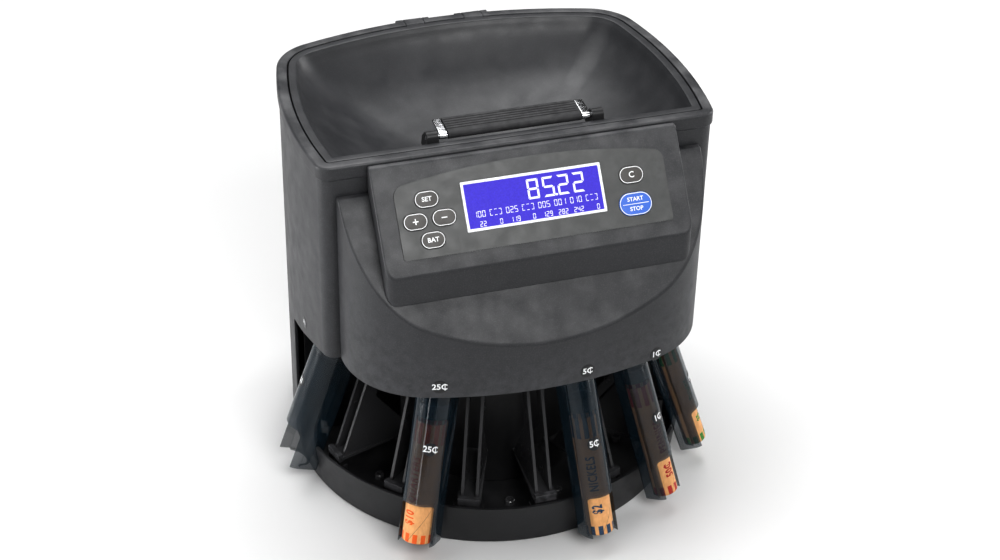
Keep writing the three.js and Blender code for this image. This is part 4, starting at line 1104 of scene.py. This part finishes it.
def build_tube(coin, bore, station, mark, at):
    place = tube_frame(station)
    body = coin + "_tube"

    def level(line, down):
        return [(x, y, (TUBE_TOP_Z - TUBE_FOOT_Z + y * math.sin(TILT)) / math.cos(TILT) - down)
                for x, y in line]

    def flat(line, s):
        return [(x, y, s) for x, y in line]

    outer, inner = tube_outline(bore), bore_outline(bore, bore)
    loops = [flat(tube_outline(bore, 0.35), 0.02), flat(outer, 0.4), level(outer, 0.5),
             level(tube_outline(bore, 0.4), 0.02), level(bore_outline(bore, bore + 0.4), 0.02),
             level(inner, 0.5), flat(inner, 1.4), flat(bore_outline(bore, bore - 2.4), 1.4),
             flat(bore_outline(bore, bore - 2.4), 0.02)]
    tube = skin("tube_body_" + coin, loops, place=place)
    gate = bore + GATE_ROOM
    corner = 2.5
    shape = [(-gate, -20), (gate, -20), (gate, GATE_HEIGHT - corner)]
    shape += arc(gate - corner, GATE_HEIGHT - corner, corner, 0, math.pi / 2, 5)[1:]
    shape += arc(corner - gate, GATE_HEIGHT - corner, corner, math.pi / 2, math.pi, 5)
    carve(tube, prism("gate", shape, -bore - 8, 1, place @ THROUGH_FRONT))
    soften(clean(tube, 0.05), 0.25, 2, 50)
    finish(tube, SMOKED, body, ["tube_" + coin])

    neck = [(bore - 0.15, 109), (bore - 0.15, 120), (bore - 0.9, 121), (bore - 1.6, 120.4),
            (bore - 1.6, 109.4), (bore - 0.9, 108.8)]
    finish(turned("tube_neck_" + coin, neck, 64, place), DARK, body)
    sticker("tube_mark_" + coin, mark, 5.6, place, body, 4.9, wrap=(bore + TUBE_WALL - 0.02, at))


def build_wrapper(coin, bore, station):
    place = tube_frame(station)
    r = bore - 0.4
    profile = [(r * 0.58, 2.3), (r * 0.62, 1.9), (r - 1.6, 1.75), (r - 0.8, 1.9), (r - 0.25, 2.5), (r, 3.5)]
    profile += [(r, 3.5 + (WRAPPER_LENGTH - 4.2) * i / 24) for i in range(1, 25)]
    profile += [(r - 0.1, WRAPPER_LENGTH - 0.25), (r - 0.3, WRAPPER_LENGTH - 0.15),
                (r - 0.42, WRAPPER_LENGTH - 0.4), (r - 0.42, 4.0), (r - 1.2, 2.8), (r * 0.62, 2.6)]
    steps = 72
    loops = []
    for radius, s in profile:
        loop = []
        for i in range(steps):
            a = math.tau * i / steps - math.pi / 2
            wave = 0.10 * math.sin(3 * a + s * 0.11) * math.sin(s * 0.071 + bore)
            rr = min(radius + wave, bore - 0.12)
            loop.append((rr * math.cos(a), rr * math.sin(a), s))
        loops.append(loop)
    paper = skin("wrapper_roll_" + coin, loops, place=place)
    back = place.inverted()
    layer = paper.data.uv_layers.new(name="wrap")
    mesh = paper.data
    for poly in mesh.polygons:
        angles = []
        for li in poly.loop_indices:
            p = back @ (mesh.vertices[mesh.loops[li].vertex_index].co / MM)
            angles.append((math.atan2(p.x, -p.y), p.z))
        turn = max(a for a, _ in angles) - min(a for a, _ in angles) > math.pi
        for li, (a, s) in zip(poly.loop_indices, angles):
            if turn and a < 0:
                a += math.tau
            layer.data[li].uv = (a * r, s)
    finish(paper, kraft("paper_" + coin, INKS[coin]), coin + "_tube", ["wrapper_" + coin], sharp=50)

    ink = printed("ink_" + coin, INKS[coin], rough=0.7)
    value, phi, s, size = {
        "quarter": ("$10", -0.40, 23.5, 8.2), "nickel": ("$2", -0.46, 25.0, 8.0),
        "penny": ("50¢", -0.10, 24.0, 7.6), "dime": ("$5", -0.1, 25.0, 6.6),
    }[coin]
    lettering("wrapper_value_" + coin, value, size, place, ink, coin + "_tube", turn=math.pi / 2,
              weight=0.34, wrap=(r + 0.06, (s, phi)), depth=0.05, squeeze=0.62, spacing=1.12)
    lettering("wrapper_name_" + coin, {"quarter": "QUARTERS", "nickel": "NICKELS", "penny": "PENNIES",
                                       "dime": "DIMES"}[coin], 7.4, place, ink, coin + "_tube",
              turn=math.pi / 2, weight=0.30, wrap=(r + 0.06, (56.0, phi)), depth=0.05, squeeze=0.66,
              spacing=1.15)


def build_marks():
    """The coin's value on a round label above each tube."""
    for coin, x, z in (("quarter", -88, 164), ("nickel", 31, 162.5), ("penny", 94, 158)):
        line = cover_line(0)
        i = next(i for i in range(1, len(line)) if line[i][0] > x)
        (x0, y0), (x1, y1) = line[i - 1], line[i]
        share = (x - x0) / (x1 - x0)
        turn = Matrix.Rotation(math.atan2(y1 - y0, x1 - x0), 4, "Z")
        spot = Matrix.Translation((x, y0 + share * (y1 - y0) - 0.02, z)) @ turn @ FRONT_VIEW
        sticker("cover_mark_" + coin, TUBES[coin]["mark"], 6.2, spot, "casing", 5.0)
    for coin, side in (("dollar", -1), ("dime", 1)):
        y = -26.0
        reach = math.sqrt((SIDE_R - 1.5) ** 2 - (y - SIDE_Y) ** 2)
        turn = Matrix.Rotation(side * (math.pi / 2 + math.atan2(y - SIDE_Y, reach)), 4, "Z")
        spot = Matrix.Translation((side * (SIDE_X + reach - 0.02), y, 155)) @ turn @ FRONT_VIEW
        sticker("side_mark_" + coin, TUBES[coin]["mark"], 5.4, spot, "casing", 3.8)


# ------------------------------------------------------------------ rear and mechanism

def build_rear():
    refine("rear_panel", bevel=0.5)
    refine("power_inlet", bevel=0.4)
    refine("switch_rocker", bevel=0.5, segments=3)
    screws = []
    for x, z in ((-93, 29), (93, 29), (-93, 225), (93, 225)):
        y = BACK_Y + math.sqrt((BACK_R - 1.5) ** 2 - x ** 2)
        turn = Matrix.Rotation(-math.atan2(x, y - BACK_Y), 4, "Z")
        spot = Matrix.Translation((x, y - 0.35, z)) @ turn @ OUT_OF_BACK
        profile = [(0.01, 0), (3.3, 0), (3.3, 0.5), (3.0, 1.0), (2.2, 1.35), (0.01, 1.4)]
        head = turned("head", profile, 32, spot, caps=True)
        screws.append(carve(head, box("cross", -1.8, 1.8, -0.35, 0.35, 0.5, 2, spot),
                            box("cross", -0.35, 0.35, -1.8, 1.8, 0.5, 2.02, spot)))
    finish(join("rear_screws", screws), STEEL, "casing", sharp=30)


def build_mechanism():
    for node, bevel in (("mechanism_deck", 0.3), ("chute_ring", 0.5), ("sorting_rail", 0.3),
                        ("coin_guide_cover", 0.5), ("coin_sensor", 0.6), ("feed_disc", 0.5),
                        ("disc_spindle", 0.4), ("disc_pulley", 0.3), ("spindle_bearing", 0.4),
                        ("drive_motor", 0.6), ("motor_pulley", 0.3), ("drive_belt", 0.3),
                        ("main_board", 0.3), ("power_supply", 0.6)):
        refine(node, bevel=bevel)


# ------------------------------------------------------------------ camera, light and floor

def build_stage():
    half, level = 6.0, -0.0006
    floor_mesh = bpy.data.meshes.new("floor")
    corners = [(-half, -half, level), (half, -half, level), (half, half, level), (-half, half, level)]
    floor_mesh.from_pydata(corners, [], [(0, 1, 2, 3)])
    floor = add("floor", floor_mesh)
    white = Finish("floor_white", Roughness=0.5, Specular_IOR_Level=0.3)
    tone = white.mix(white.patches(1.5, 2), (0.76, 0.76, 0.76), (0.80, 0.80, 0.80))
    white.set("Base Color", tone)
    # the floor glows further out, so it stays pale to the horizon
    reach = white.node("ShaderNodeVectorMath", {0: white.coords}, operation="LENGTH").outputs["Value"]
    white.set("Emission Color", tone)
    white.set("Emission Strength", white.range(reach, 0.9, 3.2, 0.0, 1.15))
    floor_mesh.materials.append(white.material)

    scene = bpy.context.scene
    world = bpy.data.worlds.new("studio")
    scene.world = world
    world.use_nodes = True
    backdrop = world.node_tree.nodes["Background"]
    backdrop.inputs["Color"].default_value = (1, 1, 1, 1)
    backdrop.inputs["Strength"].default_value = 0.05
    sky_mesh = bpy.data.meshes.new("sky")
    bm = bmesh.new()
    bmesh.ops.create_uvsphere(bm, u_segments=48, v_segments=24, radius=half * 0.98)
    bmesh.ops.reverse_faces(bm, faces=bm.faces)
    bm.to_mesh(sky_mesh)
    bm.free()
    sky = add("sky", sky_mesh)
    pale = Finish("sky_white", Roughness=1.0, Specular_IOR_Level=0.0)
    pale.set("Base Color", (0, 0, 0))
    pale.set("Emission Color", pale.mix(pale.patches(0.4, 2), (0.88, 0.89, 0.90), (0.94, 0.94, 0.95)))
    pale.set("Emission Strength", 1.0)
    sky_mesh.materials.append(pale.material)
    for rays in ("diffuse", "glossy", "transmission", "shadow", "volume_scatter"):
        setattr(sky, "visible_" + rays, False)
    scene.view_settings.view_transform = "Standard"
    scene.view_settings.gamma = 0.8

    target = Vector((0, -0.02, 0.15))
    for name, spot, size, power in (
            ("overhead", (-0.1, 0.8, 2.3), (1.9, 1.9), 60),
            ("sheen", (0.15, -1.6, 1.6), (1.2, 0.8), 30),
            ("left", (-1.9, 0.25, 0.25), (1.0, 0.5), 24),
            ("inside", (-1.4, -0.2, 1.6), (0.9, 0.9), 5),
            ("right", (1.8, 0.35, 0.7), (0.7, 1.0), 18),
            ("strip_left", (-1.1, -1.0, 0.45), (0.16, 1.0), 3.0),
            ("strip_right", (1.2, -0.9, 0.45), (0.16, 1.0), 3.0)):
        data = bpy.data.lights.new(name, "AREA")
        data.shape = "RECTANGLE"
        data.size, data.size_y = size
        data.energy = power
        light = add(name, data)
        light.location = spot
        light.visible_diffuse = not name.startswith("strip")
        light.visible_camera = False
        light.rotation_euler = (target - Vector(spot)).to_track_quat("-Z", "Y").to_euler()


def build_camera():
    azimuth, elevation, roll = (math.radians(d) for d in (-18.4, 33.97, 1.31))
    forward = Vector((-math.sin(azimuth) * math.cos(elevation), math.cos(azimuth) * math.cos(elevation),
                      -math.sin(elevation)))
    right = forward.cross(Vector((0, 0, 1))).normalized()
    up = right.cross(forward)
    x = math.cos(roll) * right + math.sin(roll) * up
    y = math.cos(roll) * up - math.sin(roll) * right
    data = bpy.data.cameras.new("camera")
    data.sensor_width = 36.0
    data.lens = 72.84
    data.clip_start = 0.05
    camera = add("camera", data)
    turn = Matrix((x, y, -forward)).transposed().to_4x4()
    camera.matrix_world = Matrix.Translation((-0.4434, -1.3646, 1.1160)) @ turn
    bpy.context.scene.camera = camera


for build in (build_camera, build_stage, build_housing, build_rim, build_cover, build_console, build_label,
              build_display, build_keys, build_hopper, build_handle, build_base, build_bay):
    build()
for coin, facts in TUBES.items():
    build_tube(coin, facts["bore"], facts["station"], facts["mark"], facts["at"])
    if coin != "dollar":
        build_wrapper(coin, facts["bore"], facts["station"])
build_marks()
build_rear()
build_mechanism()
